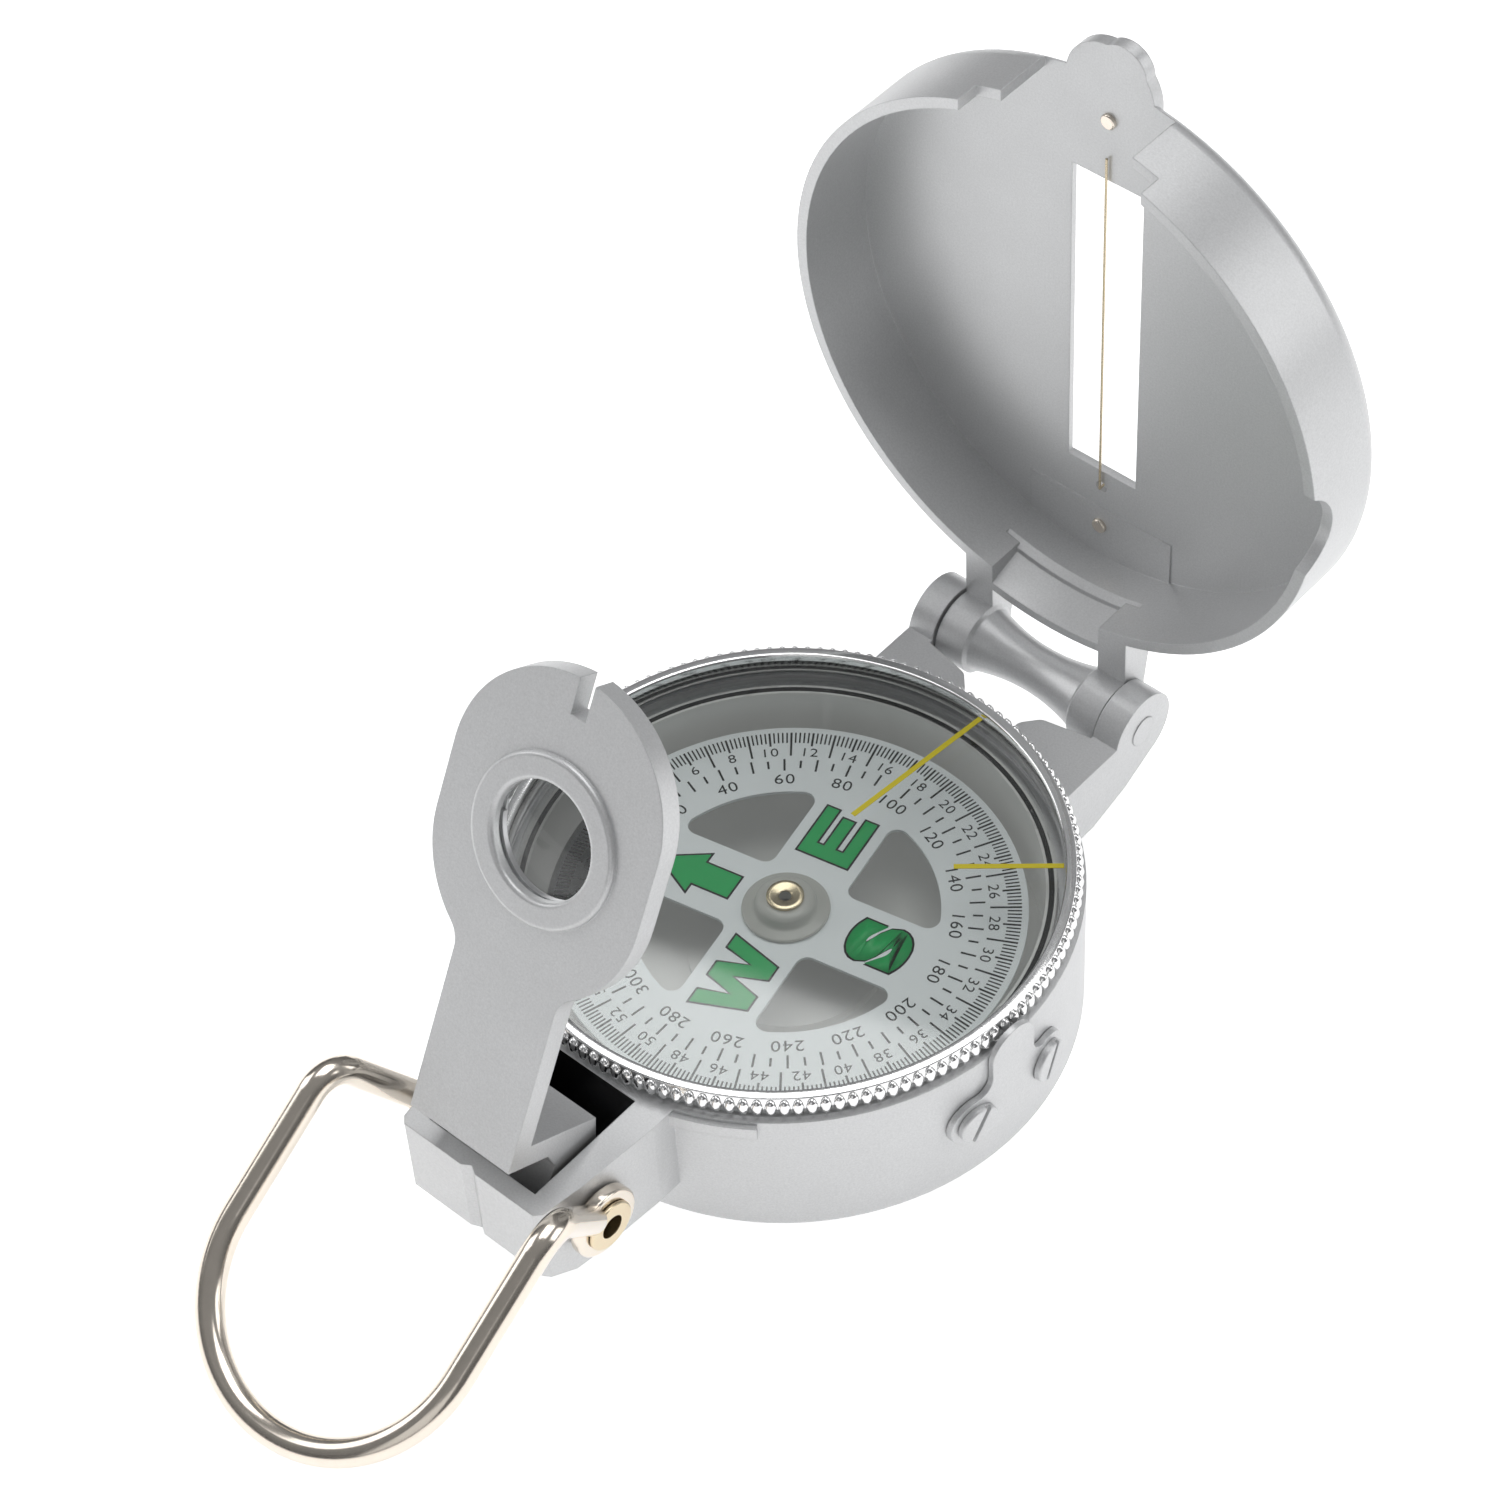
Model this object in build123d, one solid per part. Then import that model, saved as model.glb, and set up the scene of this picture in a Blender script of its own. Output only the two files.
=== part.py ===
# Engineer's sighting compass: a cast base with a liquid capsule, a turning bezel, a hinged
# sighting cover, a folding eye bracket with a magnifier, and a wire thumb loop.
# Millimetres. Origin: centre of the base's underside on the dial axis, +Z up,
# +Y towards the cover hinge (the sighting direction), +X towards the clip plate.
# The cover is drawn shut and the eye bracket folded, then both are turned to the open pose.
from build123d import *
import math
import os

# ---- base bowl
BASE_R = 26.4
BASE_H = 15.0
BASE_FLOOR = 3.2
BASE_EDGE = 0.8
RIM_WALL = 1.25
RIM_DEPTH = 1.8
LEDGE_W = 1.2

# ---- running and seating clearances
RUN_GAP = 0.05
SEAT_GAP = 0.05
FREE_GAP = 0.3

# ---- bezel
BEZEL_R = 26.2
BEZEL_H = 2.15
KNURL_TEETH = 140
KNURL_DEPTH = 0.5
GLASS_R = 24.6
GLASS_T = 1.2
BEZEL_LIP = 0.7
CROWN_LOW = 0.35
CROWN_TOP = 0.3
CROWN_RISE = 0.5
CROWN_DROP = 0.4
SPIGOT_WALL = 0.8
SPIGOT_H = 1.65
LINE_W = 0.5
LINE_T = 0.06
LINE_EDGE_GAP = 0.15
LINE_LONG = 16.0
LINE_SHORT = 9.6
LINE_ANGLE = 84.4
LINE_SPREAD = 45.0

# ---- bezel retaining ring, a flat split ring in facing grooves
RETAIN_T = 0.4
RETAIN_BITE = 0.55
RETAIN_SPLIT = 3.0
GROOVE_PLAY = 0.05

# ---- capsule
CAPSULE_WALL = 1.0
CAPSULE_FLOOR = 1.2
DISC_T = 0.2
LID_T = 1.1
SEAL_R = 0.25
PLATFORM_R = 9.0
PLATFORM_H = 1.0

# ---- dial, its cap and its pivot
DIAL_R = 21.4
DIAL_T = 0.3
DIAL_TOP = 10.9
WINDOW_OUTER = 13.7
WINDOW_INSET = 3.75
WINDOW_ROUND = 1.1
NORTH_ANGLE = 191.4
HUB_FLANGE_R = 4.0
HUB_FLANGE_T = 0.5
HUB_R = 2.7
HUB_H = 1.7
HUB_BORE_R = 0.8
CAP_R = 1.7
CAP_T = 0.35
CAP_HOLE_R = 0.45
MAGNET_L = 22.0
MAGNET_W = 3.4
MAGNET_T = 1.2
MAGNET_HOLE_R = 1.8
POST_R = 1.4
NEEDLE_R = 0.35

# ---- cover
COVER_R = 28.3
COVER_WALL = 1.1
COVER_TOP_T = 1.2
CUP_DEPTH = 8.1
COVER_RIM_Z = 13.0
COVER_EDGE = 2.0
COVER_SHIFT = 0.2
SLOT_HALF = 3.8
SLOT_NEAR = 17.5
SLOT_FAR = 16.7
SLOT_BEVEL = 0.5
TAB_R = 4.6
TAB_AT = 27.1
TAB_LOBE_R = 2.5
TAB_LOBE_X = 1.2
TAB_LOBE_Y = 2.6
MOUTH_HALF = 6.8
NOTCH_R = 5.2
NOTCH_Y = 1.0
NOTCH_DEPTH = 2.6
PAD_HALF = 8.0
PAD_FROM = 21.2
PAD_H = 0.12

# ---- cover hinge
HINGE_Y = 35.5
HINGE_Z = 12.0
EAR_R = 3.9
EAR_INNER = 9.45
EAR_W = 2.75
BARREL_R = 3.6
BARREL_WAIST_R = 2.25
BARREL_BELL_R = 3.2
BELL_STEP = 0.3
BARREL_GAP = 0.2
FLANGE_W = 3.1
HINGE_PIN_R = 1.5
SHELF_BELOW_RIM = 0.3
NOSE_HALF = 3.15
NOSE_Y = 28.8
SHELF_Y = 31.4
NOSE_ROUND = 1.0
ARM_LOW = 5.0
COVER_ARM_T = 4.0
BULGE_R = 30.2
BULGE_WALL = 0.9
OPEN_ANGLE = -90.0

# ---- sighting wire and its two rivets
WIRE_R = 0.12
WIRE_NEAR = 20.0
WIRE_FAR = 18.7
RIVET_NEAR = 23.9
RIVET_FAR = 23.5
RIVET_R = 0.75
RIVET_H = 0.35
WIRE_HOLE_R = 0.6

# ---- bracket box on the base
PIVOT_Y = -34.4
PIVOT_Z = 10.0
BOX_HALF = 6.1
BOX_WALL = 1.9
BOX_FLARE = 1.15
BOX_BACK = -38.4
BOX_BACK_T = 1.7
BOX_LOW = 4.6
BOX_FLOOR = 1.2
GROOVE_DEPTH = 0.5
RIDGE_OUT = 0.5
RIDGE_LOW = 13.3
RIDGE_T = 1.4
RIDGE_FROM = 54.0
RIDGE_TO = 78.0
BOWL_FLAT = 0.3

# ---- eye bracket, drawn folded
HEEL = 7.8
PLATE_TOP = 9.8
PLATE_T = 2.1
STEM_HALF = 5.6
STEM_L = 14.0
PADDLE_R = 10.9
PADDLE_L = 41.4
PADDLE_FLAT = 6.3
NECK_ROUND = 2.5
KNUCKLE_R = 3.4
FOOT_LOW = -0.6
FOOT_TOE = 1.2
FOOT_CHAMFER = 1.4
RING_AT = 26.9
RING_R = 7.4
RING_H = 0.5
LENS_HOLE_R = 5.05
LENS_R = 5.6
LENS_EDGE = 0.7
LENS_LIP = 0.5
LENS_DOME = 0.55
SNAP_R = 0.3
SIGHT_HALF = 0.8
SIGHT_L = 3.3
UNFOLD_ANGLE = 62.5

# ---- bracket pivot, a tubular rivet, and the spring under the knuckle
RIVET_TUBE_R = 1.75
RIVET_HOLE_R = 1.15
RIVET_HEAD_R = 2.4
RIVET_HEAD_T = 0.35
SPRING_T = 0.35
SPRING_HALF = 3.6
SPRING_RISE = 4.6

# ---- thumb loop
LOOP_WIRE_R = 1.3
LOOP_HALF = 12.8
EYELET_R = 3.4
EYELET_T = 1.3
EYELET_GAP = 0.3
ARM_UP = 14.0
ARM_ANGLE = 125.3
LOOP_ANGLE = 213.4
LOOP_L = 27.4
BEND_R = 3.0
WIRE_START = 3.0

# ---- clip plate and its screws
CLIP_T = 0.6
CLIP_ANGLE = -2.8
CLIP_SCREW_Z = 8.2
CLIP_SCREW_APART = 8.8
CLIP_LOBE_R = 2.7
CLIP_STEM_HALF = 2.6
CLIP_TOP = 16.9
CLIP_FILLET = 1.6
SCREW_HEAD_R = 2.0
SCREW_HEAD_T = 0.65
SCREW_R = 0.8
SCREW_L = 1.9
SCREW_SLOT_W = 0.5
SCREW_SLOT_D = 0.4

# ---- worked out from the sizes above
RIM_R = BASE_R - RIM_WALL
CAPSULE_SEAT_R = RIM_R - LEDGE_W
CAPSULE_R = CAPSULE_SEAT_R - SEAT_GAP
BEZEL_LOW = BASE_H + 0.15
BEZEL_TOP = BEZEL_LOW + BEZEL_H
GLASS_TOP = BEZEL_TOP - BEZEL_LIP
GLASS_LOW = GLASS_TOP - GLASS_T
SPIGOT_R = RIM_R - RUN_GAP
SPIGOT_LOW = BEZEL_LOW - SPIGOT_H
RETAIN_Z = (BASE_H + SPIGOT_LOW) / 2
CAPSULE_LOW = BASE_FLOOR + DISC_T
CAPSULE_TOP = GLASS_LOW - FREE_GAP
CAPSULE_IN_R = CAPSULE_R - CAPSULE_WALL
LID_LOW = CAPSULE_TOP - LID_T
TANK_FLOOR = CAPSULE_LOW + CAPSULE_FLOOR
DIAL_LOW = DIAL_TOP - DIAL_T
HUB_TOP = DIAL_TOP + HUB_H
COVER_IN_R = COVER_R - COVER_WALL
COVER_FLOOR_Z = COVER_RIM_Z + CUP_DEPTH
COVER_TOP_Z = COVER_FLOOR_Z + COVER_TOP_T
BARREL_HALF = EAR_INNER - BARREL_GAP
EAR_OUTER = EAR_INNER + EAR_W
SHELF_TOP = COVER_RIM_Z - SHELF_BELOW_RIM
SHELF_T = 2.5
BOX_OUT = BOX_HALF + BOX_WALL
BOX_REAR = BOX_BACK - BOX_BACK_T
BOX_TOP = BASE_H
EYELET_IN = BOX_OUT + BOX_FLARE / 2 + EYELET_GAP
EYELET_OUT = EYELET_IN + EYELET_T
RIVET_END = EYELET_OUT + 2 * RUN_GAP
HEEL_Y = PIVOT_Y + HEEL
PLATE_TOP_Z = PIVOT_Z + PLATE_TOP
PLATE_LOW_Z = PLATE_TOP_Z - PLATE_T
KNUCKLE_HALF = STEM_HALF
CLIP_IN_R = BASE_R + SEAT_GAP
CLIP_OUT_R = BASE_R + CLIP_T
HINGE_AXIS = Axis((0, HINGE_Y, HINGE_Z), (1, 0, 0))
PIVOT_AXIS = Axis((0, PIVOT_Y, PIVOT_Z), (1, 0, 0))


def turned(*points):
    """A solid of revolution about Z from (radius, height) corners."""
    return revolve(make_face(Plane.XZ * Polyline(*points, close=True)), Axis.Z)


def tube(outer, inner, low, high):
    """A plain ring."""
    return turned((inner, low), (outer, low), (outer, high), (inner, high))


def raised(face, low, high):
    """A flat outline made solid between two heights."""
    return Pos(0, 0, low) * extrude(face, high - low, dir=(0, 0, 1))


def outline(*points):
    """A flat face from its corners."""
    return make_face(Polyline(*points, close=True))


def disc(radius, low, high):
    """A plain disc on the dial axis."""
    return raised(Circle(radius), low, high)


def block(x0, x1, y0, y1, z0, z1):
    """A box from its corners."""
    return Pos((x0 + x1) / 2, (y0 + y1) / 2, (z0 + z1) / 2) * Box(x1 - x0, y1 - y0, z1 - z0)


def rod_x(radius, x0, x1, y, z):
    """A cylinder along X."""
    return extrude(Plane((x0, y, z), x_dir=(0, 1, 0), z_dir=(1, 0, 0)) * Circle(radius), x1 - x0)


def side_slab(half, *points, low=None):
    """A (y, z) outline made solid from -half to half in X, or from low to half."""
    start = -half if low is None else low
    face = make_face(Plane.YZ * Polyline(*points, close=True))
    return Pos(start, 0, 0) * extrude(face, half - start, dir=(1, 0, 0))


def both_sides(shape):
    """A shape and its mirror image across the sighting plane."""
    return shape + mirror(shape, Plane.YZ)


def save(shape, node):
    """Write one node."""
    shape.label = node
    export_step(shape, "parts/" + node + ".step")


# ------------------------------------------------------------------ base

def bowl():
    """The cast bowl with its rim bore, capsule seat and retaining groove."""
    body = turned(
        (0, 0), (BASE_R, 0), (BASE_R, BASE_H), (RIM_R, BASE_H),
        (RIM_R, BASE_H - RIM_DEPTH), (CAPSULE_SEAT_R, BASE_H - RIM_DEPTH),
        (CAPSULE_SEAT_R, BASE_FLOOR), (0, BASE_FLOOR),
    )
    body = fillet(body.edges().filter_by(GeomType.CIRCLE).group_by(Axis.Z)[0], BASE_EDGE)
    half_groove = RETAIN_T / 2 + GROOVE_PLAY
    groove = tube(RIM_R + RETAIN_BITE, RIM_R - 0.1, RETAIN_Z - half_groove, RETAIN_Z + half_groove)
    return body - groove


def hinge_arm():
    """One ear on its arm, and the shelf in front of it, on the +X side."""
    inside = BASE_R - RIM_WALL - LEDGE_W
    ear = rod_x(EAR_R, EAR_INNER, EAR_OUTER, HINGE_Y, HINGE_Z)
    low_y = HINGE_Y + EAR_R * math.sin(math.radians(20))
    low_z = HINGE_Z - EAR_R * math.cos(math.radians(20))
    web = side_slab(
        EAR_OUTER,
        (inside, ARM_LOW), (BASE_R + 2.0, ARM_LOW), (HINGE_Y - 2.4, ARM_LOW + 1.4),
        (low_y, low_z), (HINGE_Y, HINGE_Z), (HINGE_Y - EAR_R * 0.93, SHELF_TOP), (inside, SHELF_TOP),
        low=EAR_INNER,
    )
    shelf = raised(outline(
        (NOSE_HALF, inside - 2.0), (NOSE_HALF, NOSE_Y), (NOSE_HALF + 1.4, SHELF_Y - 1.0),
        (EAR_INNER, SHELF_Y), (EAR_OUTER, SHELF_Y), (EAR_OUTER, inside - 4.0),
    ), ARM_LOW, SHELF_TOP)
    corners = shelf.edges().filter_by(Axis.Z).sort_by_distance((NOSE_HALF, NOSE_Y, ARM_LOW))[:2]
    shelf = fillet(corners, NOSE_ROUND)
    under = side_slab(
        EAR_OUTER + 1,
        (BASE_R + 1.0, ARM_LOW - 1), (SHELF_Y + 3, ARM_LOW - 1), (SHELF_Y + 3, SHELF_TOP - SHELF_T),
        low=0,
    )
    return (ear + web + (shelf - under)) - disc(CAPSULE_SEAT_R + 0.5, 0, SHELF_TOP + 9)


def bracket_box():
    """The open box that carries the eye bracket, its side walls flaring into the bowl."""
    root = -(CAPSULE_SEAT_R - 1.0)
    flare = BOX_OUT + BOX_FLARE
    body = raised(outline(
        (flare, root), (flare, -BASE_R - 0.8), (BOX_OUT + BOX_FLARE / 2, PIVOT_Y - 1.0),
        (BOX_OUT, BOX_REAR + 0.6), (BOX_OUT - 0.6, BOX_REAR),
        (GROOVE_DEPTH * 1.6, BOX_REAR), (0, BOX_REAR + GROOVE_DEPTH), (-GROOVE_DEPTH * 1.6, BOX_REAR),
        (0.6 - BOX_OUT, BOX_REAR), (-BOX_OUT, BOX_REAR + 0.6),
        (-BOX_OUT - BOX_FLARE / 2, PIVOT_Y - 1.0), (-flare, -BASE_R - 0.8), (-flare, root),
    ), BOX_LOW, BOX_TOP)
    wedge = side_slab(flare + 1, (BOX_REAR - 1, BOX_LOW - 1), (BOX_REAR + 3.2, BOX_LOW - 1),
                      (BOX_REAR + 3.2, BOX_LOW), (BOX_REAR - 1, BOX_LOW + 2.2))
    return body - wedge


def ridge():
    """The raised lip under the bezel beside the bracket box, on the +X side."""
    ring = tube(BASE_R + RIDGE_OUT, BASE_R - 0.5, RIDGE_LOW, RIDGE_LOW + RIDGE_T)
    far = 2 * BASE_R
    a0 = math.radians(-RIDGE_TO)
    a1 = math.radians(-RIDGE_FROM)
    start = (far * math.cos(a0), far * math.sin(a0))
    end = (far * math.cos(a1), far * math.sin(a1))
    sector = outline((0, 0), start, end)
    return ring & raised(sector, 0, BASE_H)


def clip_place(offset):
    """The frame of a clip screw: X outwards, at a distance round the bowl from the clip's middle."""
    angle = CLIP_ANGLE + math.degrees(offset / BASE_R)
    return Rot(0, 0, angle) * Pos(0, 0, CLIP_SCREW_Z)


SCREW_OFFSETS = (-CLIP_SCREW_APART / 2, CLIP_SCREW_APART / 2)


def make_base():
    well = block(-BOX_HALF, BOX_HALF, BOX_BACK, -BASE_R + BOWL_FLAT, BOX_LOW + BOX_FLOOR, BOX_TOP + 1)
    bore = disc(CAPSULE_SEAT_R, BASE_FLOOR, BASE_H + 1)
    body = bowl() + both_sides(hinge_arm()) + (bracket_box() - bore) + both_sides(ridge())
    body -= disc(RIM_R, BASE_H - RIM_DEPTH, BASE_H + 1)
    body -= well
    body -= rod_x(HINGE_PIN_R, -EAR_OUTER - 1, EAR_OUTER + 1, HINGE_Y, HINGE_Z)
    body -= rod_x(RIVET_TUBE_R, -BOX_OUT - 3, BOX_OUT + 3, PIVOT_Y, PIVOT_Z)
    for offset in SCREW_OFFSETS:
        hole = rod_x(SCREW_R + RUN_GAP, BASE_R - SCREW_L - 0.1, BASE_R + 1, 0, 0)
        body -= clip_place(offset) * hole
    half_groove = RETAIN_T / 2 + GROOVE_PLAY
    body -= tube(RIM_R + RETAIN_BITE, RIM_R - 0.1, RETAIN_Z - half_groove, RETAIN_Z + half_groove)
    return body


def make_clip_plate():
    """A spring leaf: two screw lobes at the foot, a stem, and a round tongue beside the knurl."""
    lobes = Sketch()
    for offset in SCREW_OFFSETS:
        lobes += Pos(offset, CLIP_SCREW_Z) * Circle(CLIP_LOBE_R)
    foot = Pos(0, CLIP_SCREW_Z) * Rectangle(CLIP_SCREW_APART, 2 * CLIP_LOBE_R)
    stem_top = CLIP_TOP - CLIP_STEM_HALF
    stem = Pos(0, (CLIP_SCREW_Z + stem_top) / 2) * Rectangle(2 * CLIP_STEM_HALF, stem_top - CLIP_SCREW_Z)
    tongue = Pos(0, stem_top) * Circle(CLIP_STEM_HALF)
    leaf = lobes + foot + stem + tongue
    necks = [
        leaf.vertices().sort_by_distance((side * CLIP_STEM_HALF, CLIP_SCREW_Z + CLIP_LOBE_R))[0]
        for side in (-1, 1)
    ]
    leaf = fillet(necks, CLIP_FILLET)
    block_out = extrude(Plane.YZ * leaf, BASE_R + 5, dir=(1, 0, 0))
    shell = tube(CLIP_OUT_R, CLIP_IN_R, 0, CLIP_TOP + 1)
    plate = Rot(0, 0, CLIP_ANGLE) * (shell & block_out)
    for offset in SCREW_OFFSETS:
        plate -= clip_place(offset) * rod_x(SCREW_R + 2 * RUN_GAP, BASE_R - 1, BASE_R + 5, 0, 0)
    return plate


def make_clip_screws():
    screws = []
    for offset in SCREW_OFFSETS:
        under = CLIP_OUT_R
        head = rod_x(SCREW_HEAD_R, under, under + SCREW_HEAD_T, 0, 0)
        head = fillet(head.edges().filter_by(GeomType.CIRCLE).sort_by(Axis.X)[-1:], SCREW_HEAD_T * 0.35)
        shank = rod_x(SCREW_R, BASE_R - SCREW_L, under + 0.1, 0, 0)
        end = under + SCREW_HEAD_T
        slot = block(end - SCREW_SLOT_D, end + 1, -SCREW_SLOT_W / 2, SCREW_SLOT_W / 2, -3, 3)
        screws.append(clip_place(offset) * Rot(-28, 0, 0) * ((head + shank) - slot))
    return Compound(children=screws)


# ------------------------------------------------------------------ capsule and dial

def make_capsule_bowl():
    cup = turned(
        (0, CAPSULE_LOW), (CAPSULE_R, CAPSULE_LOW), (CAPSULE_R, LID_LOW), (CAPSULE_IN_R, LID_LOW),
        (CAPSULE_IN_R, TANK_FLOOR), (PLATFORM_R, TANK_FLOOR), (PLATFORM_R, TANK_FLOOR + PLATFORM_H),
        (0, TANK_FLOOR + PLATFORM_H),
    )
    middle = (CAPSULE_R + CAPSULE_IN_R) / 2
    return cup - tube(middle + SEAL_R, middle - SEAL_R, LID_LOW - 2 * SEAL_R, LID_LOW + 1)


def make_capsule_seal():
    middle = (CAPSULE_R + CAPSULE_IN_R) / 2
    thin = SEAL_R - 0.02
    return tube(middle + thin, middle - thin, LID_LOW - 2 * SEAL_R, LID_LOW)


def dial_quarter(x_sign, y_sign):
    """One window of the dial card, as a flat outline with round corners."""
    square = Pos(WINDOW_INSET + DIAL_R / 2, WINDOW_INSET + DIAL_R / 2) * Rectangle(DIAL_R, DIAL_R)
    window = fillet((square & Circle(WINDOW_OUTER)).vertices(), WINDOW_ROUND)
    if x_sign < 0:
        window = mirror(window, Plane.YZ)
    if y_sign < 0:
        window = mirror(window, Plane.XZ)
    return window


def make_dial_card():
    card = Circle(DIAL_R) - Circle(HUB_R - 0.4)
    for x_sign in (1, -1):
        for y_sign in (1, -1):
            card -= dial_quarter(x_sign, y_sign)
    return raised(card, DIAL_LOW, DIAL_TOP)


def make_dial_hub():
    hub = turned(
        (0, HUB_TOP), (CAP_R, HUB_TOP), (HUB_R - 0.2, HUB_TOP - 0.3), (HUB_R, DIAL_TOP + HUB_FLANGE_T),
        (HUB_FLANGE_R, DIAL_TOP + HUB_FLANGE_T - 0.2), (HUB_FLANGE_R, DIAL_TOP),
        (HUB_R - 0.4, DIAL_TOP), (HUB_R - 0.4, DIAL_LOW), (HUB_BORE_R, DIAL_LOW),
        (HUB_BORE_R, HUB_TOP - 0.6), (0, HUB_TOP - 0.6),
    )
    return hub


def make_dial_cap():
    return tube(CAP_R, CAP_HOLE_R, HUB_TOP, HUB_TOP + CAP_T)


def make_dial_magnet():
    """A bar magnet that widens round the pivot."""
    bar = Rectangle(MAGNET_W, MAGNET_L) + Circle(MAGNET_HOLE_R + 1.0) - Circle(MAGNET_HOLE_R)
    return raised(bar, DIAL_LOW - MAGNET_T, DIAL_LOW)


def make_pivot_post():
    foot_z = TANK_FLOOR + PLATFORM_H
    shoulder = DIAL_LOW - MAGNET_T - FREE_GAP
    tip = HUB_TOP - 0.6 - 0.1
    return turned(
        (0, foot_z), (POST_R, foot_z), (POST_R, shoulder - 0.8), (NEEDLE_R, shoulder),
        (NEEDLE_R, tip - 0.6), (0, tip),
    )


# ------------------------------------------------------------------ bezel

def make_bezel_ring():
    """A knurled ring with a crowned flank, a glass seat and a spigot that turns in the base rim."""
    teeth = []
    for i in range(KNURL_TEETH):
        for share, radius in ((-0.26, BEZEL_R), (0.26, BEZEL_R), (0.5, BEZEL_R - KNURL_DEPTH)):
            a = 2 * math.pi * (i + share) / KNURL_TEETH
            teeth.append((radius * math.cos(a), radius * math.sin(a)))
    band = raised(outline(*teeth), BEZEL_LOW, BEZEL_TOP)
    crown = turned(
        (0, BEZEL_LOW), (BEZEL_R - CROWN_LOW, BEZEL_LOW), (BEZEL_R, BEZEL_LOW + CROWN_RISE),
        (BEZEL_R, BEZEL_TOP - CROWN_DROP), (BEZEL_R - CROWN_TOP, BEZEL_TOP), (0, BEZEL_TOP),
    )
    ring = (band & crown) + tube(SPIGOT_R, SPIGOT_R - SPIGOT_WALL, SPIGOT_LOW, BEZEL_LOW + 0.1)
    seat = disc(GLASS_R, GLASS_LOW, BEZEL_TOP + 1)
    hollow = disc(SPIGOT_R - SPIGOT_WALL, SPIGOT_LOW - 1, GLASS_LOW + 0.5)
    half_groove = RETAIN_T / 2 + 2 * GROOVE_PLAY
    groove = tube(
        SPIGOT_R + 1, RIM_R - SPIGOT_WALL / 2 - GROOVE_PLAY, RETAIN_Z - half_groove, RETAIN_Z + half_groove)
    return ring - seat - hollow - groove


def make_retaining_ring():
    ring = tube(
        RIM_R + RETAIN_BITE, RIM_R - SPIGOT_WALL / 2,
        RETAIN_Z - RETAIN_T / 2, RETAIN_Z + RETAIN_T / 2)
    return ring - block(-BASE_R, 0, -RETAIN_SPLIT / 2, RETAIN_SPLIT / 2, 0, BASE_H)


def make_bezel_glass():
    return disc(GLASS_R - SEAT_GAP, GLASS_LOW, GLASS_TOP)


def make_luminous_lines():
    lines = []
    outer = GLASS_R - LINE_EDGE_GAP
    for angle, length in ((LINE_ANGLE, LINE_LONG), (LINE_ANGLE - LINE_SPREAD, LINE_SHORT)):
        strip = block(outer - length, outer, -LINE_W / 2, LINE_W / 2, GLASS_TOP, GLASS_TOP + LINE_T)
        lines.append(Rot(0, 0, angle) * strip)
    return Compound(children=lines)


# ------------------------------------------------------------------ cover

def cover_shell():
    """The cup, drawn shut: rim down, top face up."""
    cup = turned(
        (0, COVER_TOP_Z), (COVER_R, COVER_TOP_Z), (COVER_R, COVER_RIM_Z), (COVER_IN_R, COVER_RIM_Z),
        (COVER_IN_R, COVER_FLOOR_Z), (0, COVER_FLOOR_Z),
    )
    rounds = cup.edges().filter_by(GeomType.CIRCLE).group_by(Axis.Z)[-1]
    return fillet(rounds, COVER_EDGE)


def cover_tab():
    """The round thumb tab, flush with the cup's inner floor, with a small lobe on one shoulder."""
    root = COVER_IN_R - COVER_EDGE
    leaf = Pos(0, -TAB_AT) * Circle(TAB_R) + Pos(TAB_LOBE_X, -TAB_AT - TAB_LOBE_Y) * Circle(TAB_LOBE_R)
    leaf += Pos(0, -(root + TAB_AT) / 2) * Rectangle(2 * TAB_R, TAB_AT - root)
    tab = raised(leaf, COVER_FLOOR_Z, COVER_TOP_Z)
    shoulder = raised(Circle(COVER_R - COVER_TOP_T), COVER_FLOOR_Z, COVER_FLOOR_Z + COVER_TOP_T * 0.7)
    return tab + (shoulder & block(-MOUTH_HALF, MOUTH_HALF, -COVER_R, -root, 0, COVER_TOP_Z))


def hinge_bulge():
    """The thickened wall over the shelves, between and into the two hinge arms."""
    face = turned(
        (COVER_IN_R, COVER_RIM_Z), (BULGE_R, COVER_RIM_Z), (BULGE_R, COVER_RIM_Z + COVER_ARM_T * 0.6),
        (COVER_R - 0.3, COVER_FLOOR_Z - 1.0), (COVER_IN_R, COVER_FLOOR_Z - 1.0),
    )
    return face & block(-BARREL_HALF, BARREL_HALF, 0, BULGE_R + 1, COVER_RIM_Z, COVER_TOP_Z)


def hinge_pocket():
    """The relief inside the bulge, with its two ledges."""
    step = COVER_RIM_Z + COVER_ARM_T * 0.9
    ring = turned(
        (COVER_IN_R - 0.5, COVER_RIM_Z - 1), (BULGE_R - BULGE_WALL, COVER_RIM_Z - 1),
        (BULGE_R - BULGE_WALL, COVER_RIM_Z), (COVER_R - 0.25, step), (COVER_R - 0.75, step),
        (COVER_IN_R, step + 0.9), (COVER_IN_R - 0.5, step + 0.9),
    )
    half = BARREL_HALF - FLANGE_W / 2
    return ring & block(-half, half, 0, BULGE_R + 1, COVER_RIM_Z - 2, COVER_TOP_Z)


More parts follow.
